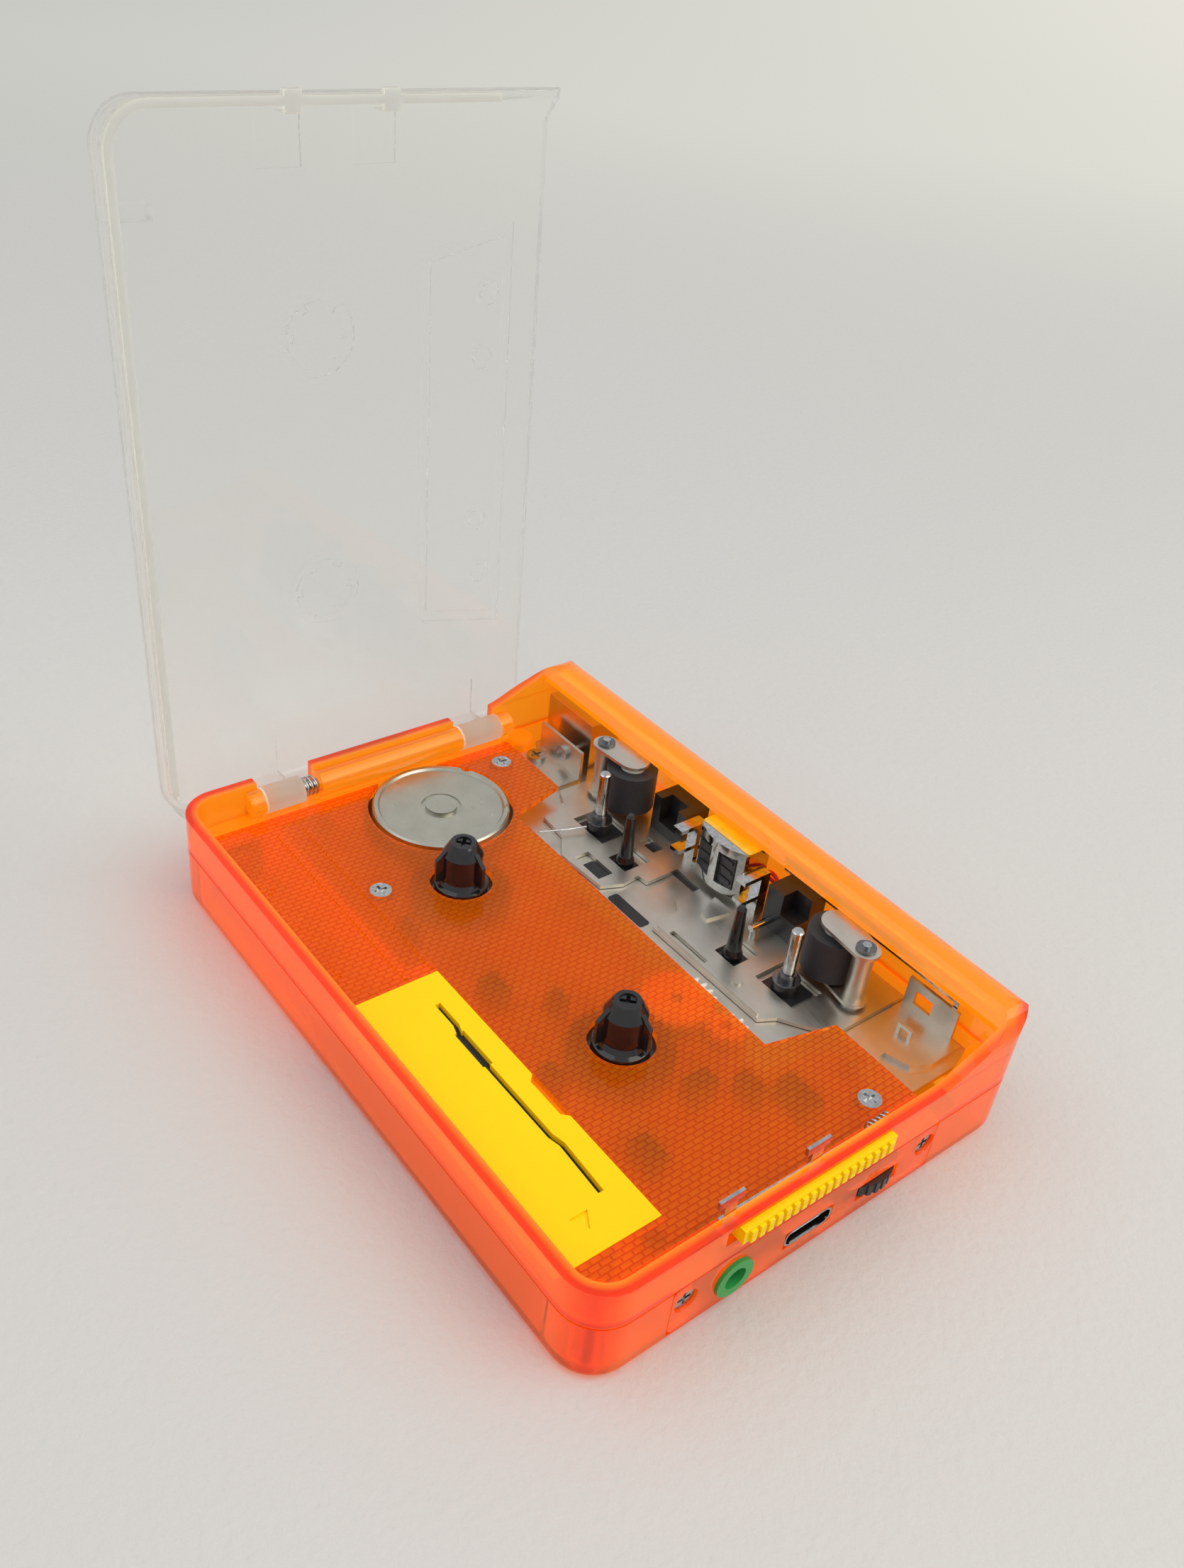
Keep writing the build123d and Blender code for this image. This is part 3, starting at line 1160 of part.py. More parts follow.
def latch_spring():
    """The small tension spring that draws the knob back."""
    y = SLIDER_Y[1] - 1.2
    return coil_along_y(LID_END_X - 0.2, 14.4, y, 0.85, 5, 0.75, 0, 0, 0, 0.18, "latch_spring")


def side_button(x):
    """A key in the head-side wall with its inner flange."""
    w, h = BUTTON_SIZE
    cap = rounded(-w / 2, w / 2, -h / 2, h / 2, INNER_Y - 0.6, HALF_WIDTH + 0.9, 1.1)
    cap = fillet(cap.faces().sort_by(Axis.Z)[-1].edges(), 0.4)
    half_w, half_h = w / 2 + 0.7, h / 2 + 0.7
    flange = rounded(-half_w, half_w, -half_h, half_h, INNER_Y - 0.65, INNER_Y - 0.1, 1.1)
    return Pos(x, 0, BUTTON_Z) * Rot(-90, 0, 0) * (cap + flange)


def key_strip():
    """The sprung contact strip behind the side keys, on two legs."""
    y = INNER_Y - 0.65 - BUTTON_TRAVEL - 0.25
    x0, x1 = BUTTONS_X[0] - 4, BUTTONS_X[-1] + 4
    strip = box(x0, x1, y - 0.25, y, 16.2, 19.4)
    strip += box(x1 - 0.8, x1, y - 0.25, y, CHASSIS_Z, 16.2)
    return strip


def wire_spring():
    """The thin wire from the left bearing to the motor side."""
    z = HEAD_PLATE_Z + 1.0
    x, y = CAPSTANS_X[0], CAPSTAN_Y
    path = FilletPolyline((x - 3.24, y - 11.01, z), (x - 1.34, y - 6.41, z), (x - 0.24, y - 2.81, z), radius=2.0)
    return sweep(Plane(origin=path @ 0, z_dir=path % 0) * Circle(0.22), path=path)


def main():
    os.makedirs("parts", exist_ok=True)
    reel_phase = mesh_phase(idler_centre(), IDLER_TEETH, idler_phase(), (REELS_X[1], REEL_Y), REEL_TEETH)
    pieces = {
        "upper_shell": upper_shell(),
        "lower_shell": lower_shell(),
        "end_panel": end_panel(),
        "end_panel_screws": end_screws(),
        "bottom_screws": case_screws(),
        "lid": lid(),
        "hinge_pin": hinge_pin(),
        "lid_spring": lid_spring(),
        "deck_plate": deck_plate(),
        "deck_screws": deck_screws(),
        "battery_door": battery_door(),
        "battery_contacts": battery_contacts(),
        "chassis_plate": chassis_plate(),
        "chassis_screws": chassis_screws(),
        "left_reel_spindle": reel_spindle(REELS_X[0], 0),
        "right_reel_spindle": reel_spindle(REELS_X[1], reel_phase),
        "left_capstan": capstan(CAPSTANS_X[0], False),
        "right_capstan": capstan(CAPSTANS_X[1], True),
        "clutch_gear": clutch_gear(),
        "idler_gear": idler_gear(),
        "axle_pins": axle_pins(),
        "bearing_housings": bearing_housings(),
        "bearing_collars": bearing_collars(),
        "locating_cones": locating_cones(),
        "head_plate": head_plate(),
        "playback_head": playback_head(),
        "head_core": head_core(),
        "tape_guides": tape_guides(),
        "guide_blocks": guide_blocks(),
        "arm_pins": arm_pins(),
        "arm_clips": arm_clips(),
        "motor_can": motor_can(),
        "motor_collar": motor_collar(),
        "motor_pulley": motor_pulley(),
        "drive_belt": drive_belt(),
        "shield_can": shield_can(),
        "shield_bracket": shield_bracket(),
        "corner_bracket": corner_bracket(),
        "circuit_board": circuit_board(),
        "headphone_jack": headphone_jack(),
        "jack_ring": jack_ring(),
        "usb_socket": usb_socket(),
        "usb_foot": usb_foot(),
        "volume_wheel": volume_wheel(),
        "volume_control": volume_control(),
        "release_slider": release_slider(),
        "latch_plate": latch_plate(),
        "latch_spring": latch_spring(),
        "key_strip": key_strip(),
        "wire_spring": wire_spring(),
    }
    for side, name in enumerate(("left", "right")):
        pieces[name + "_pinch_arm"] = pinch_arm(side)
        pieces[name + "_pinch_roller"] = pinch_roller(side)
        pieces[name + "_roller_hub"] = roller_hub(side)
    for number, x in enumerate(BUTTONS_X, 1):
        pieces["side_button_" + str(number)] = side_button(x)
    for name, piece in pieces.items():
        save(name, piece)
    print(len(pieces), "pieces")


main()
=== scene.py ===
"""Looks for a portable cassette player with an open clear lid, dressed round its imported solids."""

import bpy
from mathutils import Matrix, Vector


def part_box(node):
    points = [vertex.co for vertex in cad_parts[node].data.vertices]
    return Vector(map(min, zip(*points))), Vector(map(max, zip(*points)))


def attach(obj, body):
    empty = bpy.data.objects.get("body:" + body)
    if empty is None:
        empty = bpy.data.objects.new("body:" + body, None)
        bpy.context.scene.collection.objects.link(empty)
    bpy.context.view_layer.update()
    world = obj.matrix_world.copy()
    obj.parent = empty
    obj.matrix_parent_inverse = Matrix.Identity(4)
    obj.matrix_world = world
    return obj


bl_info = {
    "name": "Cassette player looks",
    "version": (1, 0, 0),
    "blender": (4, 5, 0),
    "location": "3D View > Sidebar > Player",
    "description": "Finishes, small parts, stage and camera for the cassette player",
    "category": "Object",
}

from math import radians

import bmesh
import bpy
import numpy as np
from bpy.props import FloatProperty, FloatVectorProperty, PointerProperty
from mathutils import Matrix, Vector

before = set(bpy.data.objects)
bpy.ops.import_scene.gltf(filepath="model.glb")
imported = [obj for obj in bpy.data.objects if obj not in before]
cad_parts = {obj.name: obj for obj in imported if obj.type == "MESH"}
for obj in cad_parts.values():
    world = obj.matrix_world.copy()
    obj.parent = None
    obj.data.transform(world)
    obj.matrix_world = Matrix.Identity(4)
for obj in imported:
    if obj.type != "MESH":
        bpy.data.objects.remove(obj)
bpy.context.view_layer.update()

MM = 0.001
CASE_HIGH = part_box("lower_shell")[1]
WALL = 1.9 * MM
CORNER = 6.5 * MM
RIM_Z = 17.4 * MM
SEAM_Z = 10.9 * MM

# The hinge line of the lid, how far the lid stands open in degrees, and its rim and roof when shut
HINGE_X, HINGE_Z = -54.0 * MM, 14.71 * MM
OPEN_ANGLE = 92.2
LID_RIM = 17.6 * MM
LID_TOP = 24.7 * MM

# Tones that the clear orange plastics share
DEEP_ORANGE = "#FF7A10"
# Painted shade: the deeper red-orange of the case's corners, rim, seam and foot
PAINTED_EDGE_SHADE = "#F03400"
LAMP_ORANGE = "#FFD69A"
SCATTER_ORANGE = "#FFA226"
SCATTER_SHARE = 0.2
# Painted glow: emission of the case plastics, dim orange on outer faces and bright yellow on inner faces
OUTER_PAINTED_GLOW = "#903204"
INNER_PAINTED_GLOW = "#FF9E00"
PAINTED_GLOW_STRENGTH = 0.2

# Length, row height and gap of the tray's brick grain
BRICK_LENGTH = 1.8 * MM
BRICK_ROW = 0.9 * MM
BRICK_GAP = 0.14 * MM

# Middle, width, depth and height of each black part under the tray, in millimetres
BOARD_PARTS = (
    (1.5, -16.6, 5.0, 3.4, 2.4),
    (20.5, -19.6, 4.4, 2.4, 2.2),
    (8.4, -9.8, 3.2, 2.4, 2.3),
    (33.2, -2.4, 3.6, 4.4, 2.4),
    (37.4, 3.6, 4.8, 2.6, 2.4),
    (38.6, -16.6, 5.2, 3.0, 2.4),
    (42.6, 8.4, 7.0, 3.6, 2.4),
    (-17.0, -20.2, 5.0, 1.6, 2.2),
)
BOARD_CORNER = 0.35

# The feet of those parts, in millimetres: pitch, first place, reach past the side, size, corner and height
FOOT_PITCH = 1.27
FOOT_START, FOOT_STOP = 0.7, 0.5
FOOT_REACH = 0.45
FOOT_SIZE = (0.5, 1.1)
FOOT_CORNER, FOOT_HEIGHT = 0.12, 0.35

# Middle, width and depth of each black sheet of painted shadow that shows in the windows of the sliding plate,
# in millimetres
WINDOW_SHADOW_SHEETS = (
    (-23.7, 23.4, 6.8, 6.8),
    (24.5, 23.4, 6.8, 6.8),
    (-13.6, 20.6, 6.4, 5.6),
    (14.4, 20.6, 6.4, 5.6),
    (-14.4, 16.0, 5.6, 2.6),
    (-3.6, 14.2, 9.0, 2.2),
    (-5.0, 29.0, 22.0, 4.0),
)
SHADOW_SHEET_CORNER, SHADOW_SHEET_HEIGHT = 0.5, 0.07

# The thin black sheet under the slot of the battery door, in millimetres: how far the slot lies from the
# door's edge, how much shorter than the door the sheet is, its width and corner, and its bottom and top under
# the door
SLOT_BACK = 4.2
SLOT_SHEET_SHORTER, SLOT_SHEET_WIDE, SLOT_SHEET_CORNER = 10.0, 2.8, 0.8
SLOT_SHEET_LOW, SLOT_SHEET_HIGH = -0.1, -0.02

# The film on the head, in millimetres: how far it lies back, its margin, corner and height, and the share of
# the head's depth that it covers
FILM_BACK, FILM_MARGIN, FILM_CORNER, FILM_HEIGHT = 0.9, 1.8, 0.6, 0.12
FILM_SHARE = 0.7

# The three leads of the head, in millimetres: radius, where the lowest starts in from the head's corner and up
# from its foot, how far apart they start, the path's middle points from there, its end, and the ends' spread
LEAD_RADIUS = 0.36
LEAD_START = (1.6, 0.2, 2.2)
LEAD_PITCH = 1.3
LEAD_MIDDLE = ((1.2, 0.9, 0.2), (3.2, 0.6, -0.4))
LEAD_END = (5.4, -0.4, 0.9)
LEAD_SPREAD = (0.3, -0.3, 0.5)

# The paper, in metres and degrees: rows of its mesh, how far it starts before the player, where along it the
# curve starts, over how much of it, and the slope that it ends in
PAPER_ROWS = 60
PAPER_NEAR = 0.6
CURVE_START, CURVE_SPAN, CURVE_SLOPE = 0.5, 0.4, 30.0

# Name, place and width in metres of each lamp, its power as a share of the window's, and its colour
LAMPS = (
    ("window_light", (0.55, 0.35, 0.75), 0.9, 1.0, "#FFF8EC"),
    ("ceiling_bounce", (-0.35, -0.45, 0.9), 1.0, 0.5, "#F2F4FF"),
)

# Camera of the photograph, in millimetres: its place, its unit vectors in the part's frame, lens and sensor
CAMERA_PLACE = (122.84, -110.71, 157.56)
CAMERA_RIGHT = (0.609, 0.786, 0.102)
CAMERA_DOWN = (0.506, -0.286, -0.814)
CAMERA_FORWARD = (-0.611, 0.547, -0.572)
LENS = 31.59
SENSOR = 36.0
CLIP_START = 10.0

# Cleaning of the small pieces: how near points merge and how short edges vanish, in millimetres, and the
# sharpest bend that stays smooth, in degrees
MERGED = 0.002
VANISHING = 0.001
CRISP_ANGLE = 35.0


def linear(colour):
    """An sRGB hex colour as linear red, green, blue and alpha; a colour setting is linear already."""
    if not isinstance(colour, str):
        return list(colour)
    channels = [int(colour[i : i + 2], 16) / 255 for i in (1, 3, 5)]
    return [c / 12.92 if c <= 0.04045 else ((c + 0.055) / 1.055) ** 2.4 for c in channels] + [1.0]


def add(tree, kind, links=None, **settings):
    """One node with its settings; links give each input a socket to read or a plain value."""
    node = tree.nodes.new(kind)
    for key, value in settings.items():
        setattr(node, key, value)
    for key, source in (links or {}).items():
        socket = node.inputs[key]
        if isinstance(source, bpy.types.NodeSocket):
            tree.links.new(source, socket)
        else:
            socket.default_value = source
    return node


def new_material(name, **sockets):
    """A material with one Principled shader whose named sockets take the values given."""
    material = bpy.data.materials.new(name)
    material.use_nodes = True
    tree = material.node_tree
    shader = tree.nodes["Principled BSDF"]
    for key, value in sockets.items():
        shader.inputs[key.replace("_", " ")].default_value = value
    return material, tree, shader


def object_place(tree):
    """Coordinates in the part's frame, in metres."""
    return add(tree, "ShaderNodeTexCoord").outputs["Object"]


def axes_of(tree, place):
    """The three coordinates of a place."""
    split = add(tree, "ShaderNodeSeparateXYZ", {"Vector": place})
    return [split.outputs[axis] for axis in "XYZ"]


def place_of(tree, scale):
    """Object coordinates with the pattern's real size brought to one unit."""
    links = {"Vector": object_place(tree), "Scale": (scale, scale, scale)}
    return add(tree, "ShaderNodeMapping", links).outputs["Vector"]


def noise(tree, place, detail, scale=1.0, **more):
    """The height of a noise pattern at a place."""
    links = {"Vector": place, "Scale": scale, "Detail": detail, **more}
    return add(tree, "ShaderNodeTexNoise", links).outputs["Fac"]


def maths(tree, operation, *values):
    """The result of an operation on one or two sockets or numbers."""
    return add(tree, "ShaderNodeMath", dict(enumerate(values)), operation=operation).outputs["Value"]


def vector_maths(tree, operation, *values):
    """The result of an operation on one or two vectors: a number for LENGTH or DOT_PRODUCT, else a vector."""
    node = add(tree, "ShaderNodeVectorMath", dict(enumerate(values)), operation=operation)
    return node.outputs["Value" if operation in ("LENGTH", "DOT_PRODUCT") else "Vector"]


def span(tree, value, low, high, most=1.0, **settings):
    """Nought where a value is low, the most where it is high, and even steps between."""
    links = {"Value": value, "From Min": low, "From Max": high, "To Max": most}
    return add(tree, "ShaderNodeMapRange", links, **settings).outputs["Result"]


def bump_from(tree, shader, height, distance, strength=1.0):
    """Raises the surface by a height pattern, with its depth in metres."""
    bump = add(tree, "ShaderNodeBump", {"Height": height, "Distance": distance, "Strength": strength})
    tree.links.new(bump.outputs["Normal"], shader.inputs["Normal"])


def two_tone(tree, factor, dark, light):
    """A colour between two hex colours or colour settings."""
    ramp = add(tree, "ShaderNodeValToRGB", {"Fac": factor})
    ramp.color_ramp.elements[0].color = linear(dark)
    ramp.color_ramp.elements[1].color = linear(light)
    return ramp.outputs["Color"]


def mixed(tree, factor, low, high, **settings):
    """A colour between two sockets or values by a factor."""
    links = {"Factor": factor, 6: low, 7: high}
    return add(tree, "ShaderNodeMix", links, data_type="RGBA", **settings).outputs[2]


def mixed_shaders(tree, share, first, second):
    """Two shaders in one, with the second's share."""
    return add(tree, "ShaderNodeMixShader", {0: share, 1: first, 2: second}).outputs["Shader"]


def clouded(tree, shader, scale, detail, dark, light, depth=0.0):
    """A colour that drifts between two tones, with the same pattern as a bump where a depth is given."""
    pattern = noise(tree, place_of(tree, scale), detail)
    tree.links.new(two_tone(tree, pattern, dark, light), shader.inputs["Base Color"])
    if depth:
        bump_from(tree, shader, pattern, depth)


def surface_of(tree, shader):
    """Makes a shader the material's surface."""
    tree.links.new(shader, tree.nodes["Material Output"].inputs["Surface"])


def let_lamps_through(tree, shader, tint, glow=0.0, glow_tint="#FFFFFF", clear=0.0):
    """Lets rays from the lamps pass a clear plastic, tinted, and adds light that its far side scatters.

    The glow is the scattered share, and the clear share is what passes a thin sheet without being bent.
    """
    front = shader.outputs["BSDF"]
    if glow:
        behind = add(tree, "ShaderNodeBsdfTranslucent", {"Color": linear(glow_tint)})
        front = mixed_shaders(tree, glow, front, behind.outputs["BSDF"])
    share = add(tree, "ShaderNodeLightPath").outputs["Is Shadow Ray"]
    straight = add(tree, "ShaderNodeBsdfTransparent", {"Color": linear(tint)})
    if clear:
        share = maths(tree, "MAXIMUM", share, clear)
    surface_of(tree, mixed_shaders(tree, share, front, straight.outputs["BSDF"]))


def inside_walls(tree):
    """One on the inner faces of the case's walls and nought on their outer faces.

    The depth under a rounded rectangle's outline is its corner radius less the length of what lies past the
    corner's middle on each axis, less the greater of the two where both fall short of it.
    """
    size = vector_maths(tree, "ABSOLUTE", object_place(tree))
    past = vector_maths(tree, "SUBTRACT", size, (CASE_HIGH[0] - CORNER, CASE_HIGH[1] - CORNER, 1.0))
    length = vector_maths(tree, "LENGTH", vector_maths(tree, "MAXIMUM", past, (0.0, 0.0, 0.0)))
    x, y, _ = axes_of(tree, past)
    short = maths(tree, "MINIMUM", maths(tree, "MAXIMUM", x, y), 0.0)
    reach = maths(tree, "ADD", length, short)
    return span(tree, reach, CORNER - 0.4 * WALL, CORNER - 0.9 * WALL)


def painted_edge_depth(tree):
    """One in the middle of the case's round corners, along its rim, seam and foot, and nought on flat walls.

    It masks painted shade: the colour is painted deeper where a look along a corner or an edge crosses more
    plastic.
    """
    x, y, z = axes_of(tree, object_place(tree))
    past = []
    for axis, far in ((x, CASE_HIGH[0]), (y, CASE_HIGH[1])):
        past.append(span(tree, maths(tree, "ABSOLUTE", axis), far - CORNER, far - 0.35 * CORNER))
    depth = maths(tree, "MULTIPLY", *past)
    foot = span(tree, z, 3.0 * MM, 0.0)
    above_seam = span(tree, z, SEAM_Z + 0.6 * MM, SEAM_Z)
    seam = maths(tree, "MINIMUM", above_seam, span(tree, z, SEAM_Z - 0.6 * MM, SEAM_Z))
    below_roof = maths(tree, "LESS_THAN", z, RIM_Z + 0.1 * MM)
    rim = maths(tree, "MULTIPLY", span(tree, z, RIM_Z - 0.5 * MM, RIM_Z), below_roof)
    for other in (seam, rim, foot):
        depth = maths(tree, "MAXIMUM", depth, other)
    return depth


def moulded_polycarbonate(name, colour, inner, roughness):
    """Tinted clear polycarbonate, injection moulded: glossy, with slow waves of flow, and painted shade that
    deepens it in places.

    Its emission is painted glow, though the case is no lamp: it gives back some of the room's light by itself,
    most of all on its inner faces, which also take a lighter yellow base colour, painted for the light that
    the case has gathered and that leaves it there.
    """
    material, tree, shader = new_material(
        name, Roughness=roughness, IOR=1.4, Transmission_Weight=0.8, Coat_Weight=0.25, Coat_Roughness=0.02
    )
    place = place_of(tree, 60.0)
    flow = two_tone(tree, noise(tree, place, 2.0), DEEP_ORANGE, colour)
    # Painted shade: deeper red-orange at the corners, rim, seam and foot
    tint = mixed(tree, painted_edge_depth(tree), flow, linear(PAINTED_EDGE_SHADE))
    # Painted glow: the inner faces take the lighter yellow base colour and the brighter emission
    glow_faces = inside_walls(tree)
    tree.links.new(mixed(tree, glow_faces, tint, linear(inner)), shader.inputs["Base Color"])
    painted_emission = mixed(tree, glow_faces, linear(OUTER_PAINTED_GLOW), linear(INNER_PAINTED_GLOW))
    tree.links.new(painted_emission, shader.inputs["Emission Color"])
    shader.inputs["Emission Strength"].default_value = PAINTED_GLOW_STRENGTH
    bump_from(tree, shader, noise(tree, place, 1.0, 6.0), 0.04 * MM)
    let_lamps_through(tree, shader, LAMP_ORANGE, SCATTER_SHARE, SCATTER_ORANGE)
    return material


def brick_grained_tray():
    """The case plastic with its moulded brick grain: short dashes across the player, in staggered rows."""
    material, tree, shader = new_material(
        "tray_polycarbonate",
        Roughness=0.04,
        IOR=1.25,
        Transmission_Weight=0.85,
        Coat_Weight=0.1,
        Coat_Roughness=0.1,
    )
    turned = {"Vector": object_place(tree), "Rotation": (0.0, 0.0, radians(90))}
    grain = {
        "Vector": add(tree, "ShaderNodeMapping", turned).outputs["Vector"],
        "Scale": 1.0,
        "Brick Width": BRICK_LENGTH,
        "Row Height": BRICK_ROW,
        "Mortar Size": BRICK_GAP,
        "Mortar Smooth": 0.4,
        "Color1": linear("#FFB62E"),
        "Color2": linear("#FFA822"),
        "Mortar": linear("#C45A0C"),
    }
    bricks = add(tree, "ShaderNodeTexBrick", grain)
    shade = two_tone(tree, noise(tree, place_of(tree, 90.0), 3.0), "#E4CCB8", "#FFFFFF")
    stained = mixed(tree, 1.0, bricks.outputs["Color"], shade, blend_type="MULTIPLY")
    tree.links.new(stained, shader.inputs["Base Color"])
    # Painted glow: a weak orange emission, though the tray is no lamp
    shader.inputs["Emission Color"].default_value = linear("#E86A00")
    shader.inputs["Emission Strength"].default_value = 0.15
    bump_from(tree, shader, bricks.outputs["Fac"], -0.08 * MM)
    let_lamps_through(tree, shader, "#FFDCA8", SCATTER_SHARE, "#FFA21C")
    return material


def clear_polystyrene():
    """Water clear polystyrene: very glossy, hardly tinted, with faint flow waves.

    Its rim, side walls and raised marks carry a painted highlight: they are mixed towards a white scattering
    shader, for the room's light that a clear sheet pipes to its edges. They are found by turning the open
    lid's places back to the shut lid.
    """
    material, tree, shader = new_material(
        "clear_polystyrene",
        Roughness=0.0,
        IOR=1.16,
        Transmission_Weight=1.0,
        Coat_Weight=0.5,
        Coat_Roughness=0.03,
    )
    shader.inputs["Base Color"].default_value = linear("#FFFFFE")
    bump_from(tree, shader, noise(tree, place_of(tree, 40.0), 1.0), 0.02 * MM)
    let_lamps_through(tree, shader, "#FEFEFD", clear=0.55)
    from_hinge = vector_maths(tree, "SUBTRACT", object_place(tree), (HINGE_X, 0.0, HINGE_Z))
    turn = {"Vector": from_hinge, "Axis": (0.0, 1.0, 0.0), "Angle": radians(OPEN_ANGLE)}
    shut = add(tree, "ShaderNodeVectorRotate", turn, rotation_type="AXIS_ANGLE")
    height = axes_of(tree, shut.outputs["Vector"])[2]
    rim = LID_RIM - HINGE_Z
    roof = (LID_TOP - LID_RIM) / MM
    # Painted highlight: how far the rim, side walls and raised marks turn to the white scattering shader
    bright = None
    for start, end, most in ((1.3, 0.3, 0.85), (5.4, 4.6, 0.14), (roof + 0.1, roof + 0.4, 0.12)):
        share = span(tree, height, rim + start * MM, rim + end * MM, most)
        bright = maths(tree, "MAXIMUM", bright, share) if bright else share
    painted_white_edges = add(tree, "ShaderNodeBsdfTranslucent", {"Color": linear("#FBFBF4")})
    body = tree.nodes["Material Output"].inputs["Surface"].links[0].from_socket
    surface_of(tree, mixed_shaders(tree, bright, body, painted_white_edges.outputs["BSDF"]))
    return material


def satin_abs(name, colour, shade, roughness=0.38):
    """Solid coloured ABS with the fine spark-eroded grain of its mould."""
    material, tree, shader = new_material(name, Roughness=roughness, IOR=1.3, Subsurface_Weight=0.1)
    shader.inputs["Subsurface Scale"].default_value = 0.8 * MM
    place = place_of(tree, 1000.0)
    cloud = two_tone(tree, noise(tree, place, 3.0, 0.05), shade, colour)
    tree.links.new(cloud, shader.inputs["Base Color"])
    bump_from(tree, shader, noise(tree, place, 2.0, 5.0), 0.02 * MM)
    return material


def zinc_plated(name, colour, shade, roughness):
    """Rolled sheet steel with bright zinc: cloudy tone and fine rolling lines along X."""
    material, tree, shader = new_material(name, Metallic=1.0, Roughness=roughness)
    drawn_out = {"Vector": object_place(tree), "Scale": (400.0, 6000.0, 6000.0)}
    lines = noise(tree, add(tree, "ShaderNodeMapping", drawn_out).outputs["Vector"], 3.0)
    clouded(tree, shader, 240.0, 4.0, shade, colour)
    rough = add(
        tree, "ShaderNodeMapRange", {"Value": lines, "To Min": roughness * 0.7, "To Max": roughness * 1.4}
    )
    tree.links.new(rough.outputs["Result"], shader.inputs["Roughness"])
    bump_from(tree, shader, lines, 0.008 * MM)
    return material


def turned_steel(name, colour, roughness):
    """Ground and polished steel of shafts, pins and screws."""
    material, tree, shader = new_material(name, Metallic=1.0, Roughness=roughness)
    clouded(tree, shader, 1500.0, 3.0, "#8E8F90", colour, 0.005 * MM)
    return material


def black_acetal(name, colour, roughness):
    """Black plastic with a fine grain: the spindles, posts and blocks, and the small black parts."""
    material, tree, shader = new_material(
        name, Roughness=roughness, IOR=1.48, Coat_Weight=0.2, Coat_Roughness=0.1
    )
    clouded(tree, shader, 800.0, 2.0, colour, "#232326", 0.01 * MM)
    return material


def moulded_rubber():
    """Ground black rubber of the pinch rollers and belt: matt with a dusty bloom."""
    material, tree, shader = new_material("ground_rubber", Roughness=0.62, IOR=1.52, Sheen_Weight=0.15)
    clouded(tree, shader, 2500.0, 4.0, "#101012", "#26262A", 0.02 * MM)
    return material


def natural_acetal():
    """Milky white acetal of hubs and gears."""
    material, tree, shader = new_material("natural_acetal", Roughness=0.35, IOR=1.48, Subsurface_Weight=0.3)
    shader.inputs["Subsurface Scale"].default_value = 1.0 * MM
    clouded(tree, shader, 300.0, 2.0, "#D9D5C8", "#F1EEE4")
    return material


def amber_film():
    """Polyimide film over the head: clear amber, very glossy."""
    material, tree, shader = new_material(
        "amber_film", Roughness=0.12, IOR=1.5, Coat_Weight=0.5, Coat_Roughness=0.05
    )
    clouded(tree, shader, 500.0, 1.0, "#D99A00", "#FFC81E")
    return material


def lead_sleeve(name, dark, light):
    """Extruded plastic sleeve of a thin lead: smooth, a little glossy."""
    material, tree, shader = new_material(name, Roughness=0.32, IOR=1.45)
    clouded(tree, shader, 700.0, 1.0, dark, light)
    return material


def solder_mask():
    """Green lacquer of the circuit board, with copper lines showing faintly."""
    material, tree, shader = new_material("solder_mask", Roughness=0.3, IOR=1.5, Coat_Weight=0.4)
    pattern = {"Vector": place_of(tree, 700.0), "Scale": 1.0, "Mortar Size": 0.08}
    tracks = add(tree, "ShaderNodeTexBrick", pattern).outputs["Fac"]
    tree.links.new(two_tone(tree, tracks, "#1B5A33", "#2C7A47"), shader.inputs["Base Color"])
    return material


def turned_brass():
    """Turned brass of the motor pulley."""
    material, tree, shader = new_material("turned_brass", Metallic=1.0, Roughness=0.3)
    clouded(tree, shader, 900.0, 2.0, "#A9803A", "#D9B662")
    return material


def textured_paper(colour, bright, away, side):
    """Felt-marked drawing paper: shallow grain about two millimetres across, painted brighter towards the
    window.

    Far behind the player the camera, mirrors and clear parts see it as a glowing wall, because the lamps
    are near the player and leave that part dark; the wall's tone is painted light, darker to brighter across
    it.
    """
    material, tree, shader = new_material("drawing_paper", Roughness=0.9)
    shader.inputs["Specular IOR Level"].default_value = 0.2
    felt = noise(tree, place_of(tree, 1000.0), 5.0, 0.55, Roughness=0.6)
    place = object_place(tree)
    # Painted light: the paper's colour brightens towards the window side
    across = span(tree, axes_of(tree, place)[0], -0.1, 0.45)
    tree.links.new(two_tone(tree, across, colour, bright), shader.inputs["Base Color"])
    bump_from(tree, shader, felt, 0.4 * MM, 0.6)
    depth = vector_maths(tree, "DOT_PRODUCT", place, tuple(away))
    breadth = vector_maths(tree, "DOT_PRODUCT", place, tuple(side))
    # Painted light: the far wall glows darker to brighter across, as if lit from the window side
    tone = two_tone(tree, span(tree, breadth, -0.5, 0.7), "#CBCCC6", "#ECEADF")
    wall = add(tree, "ShaderNodeEmission", {"Color": tone})
    far = span(tree, depth, 0.15, 0.9, 0.9, interpolation_type="SMOOTHSTEP")
    path = add(tree, "ShaderNodeLightPath")
    seen = path.outputs["Is Camera Ray"]
    for ray in ("Is Glossy Ray", "Is Transmission Ray"):
        seen = maths(tree, "MAXIMUM", seen, path.outputs[ray])
    share = maths(tree, "MULTIPLY", seen, far)
    surface_of(tree, mixed_shaders(tree, share, shader.outputs["BSDF"], wall.outputs["Emission"]))
    return material


def dress(material, *nodes):
    """Gives CAD nodes one material."""
    for name in nodes:
        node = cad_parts[name]
        node.data.materials.clear()
        node.data.materials.append(material)


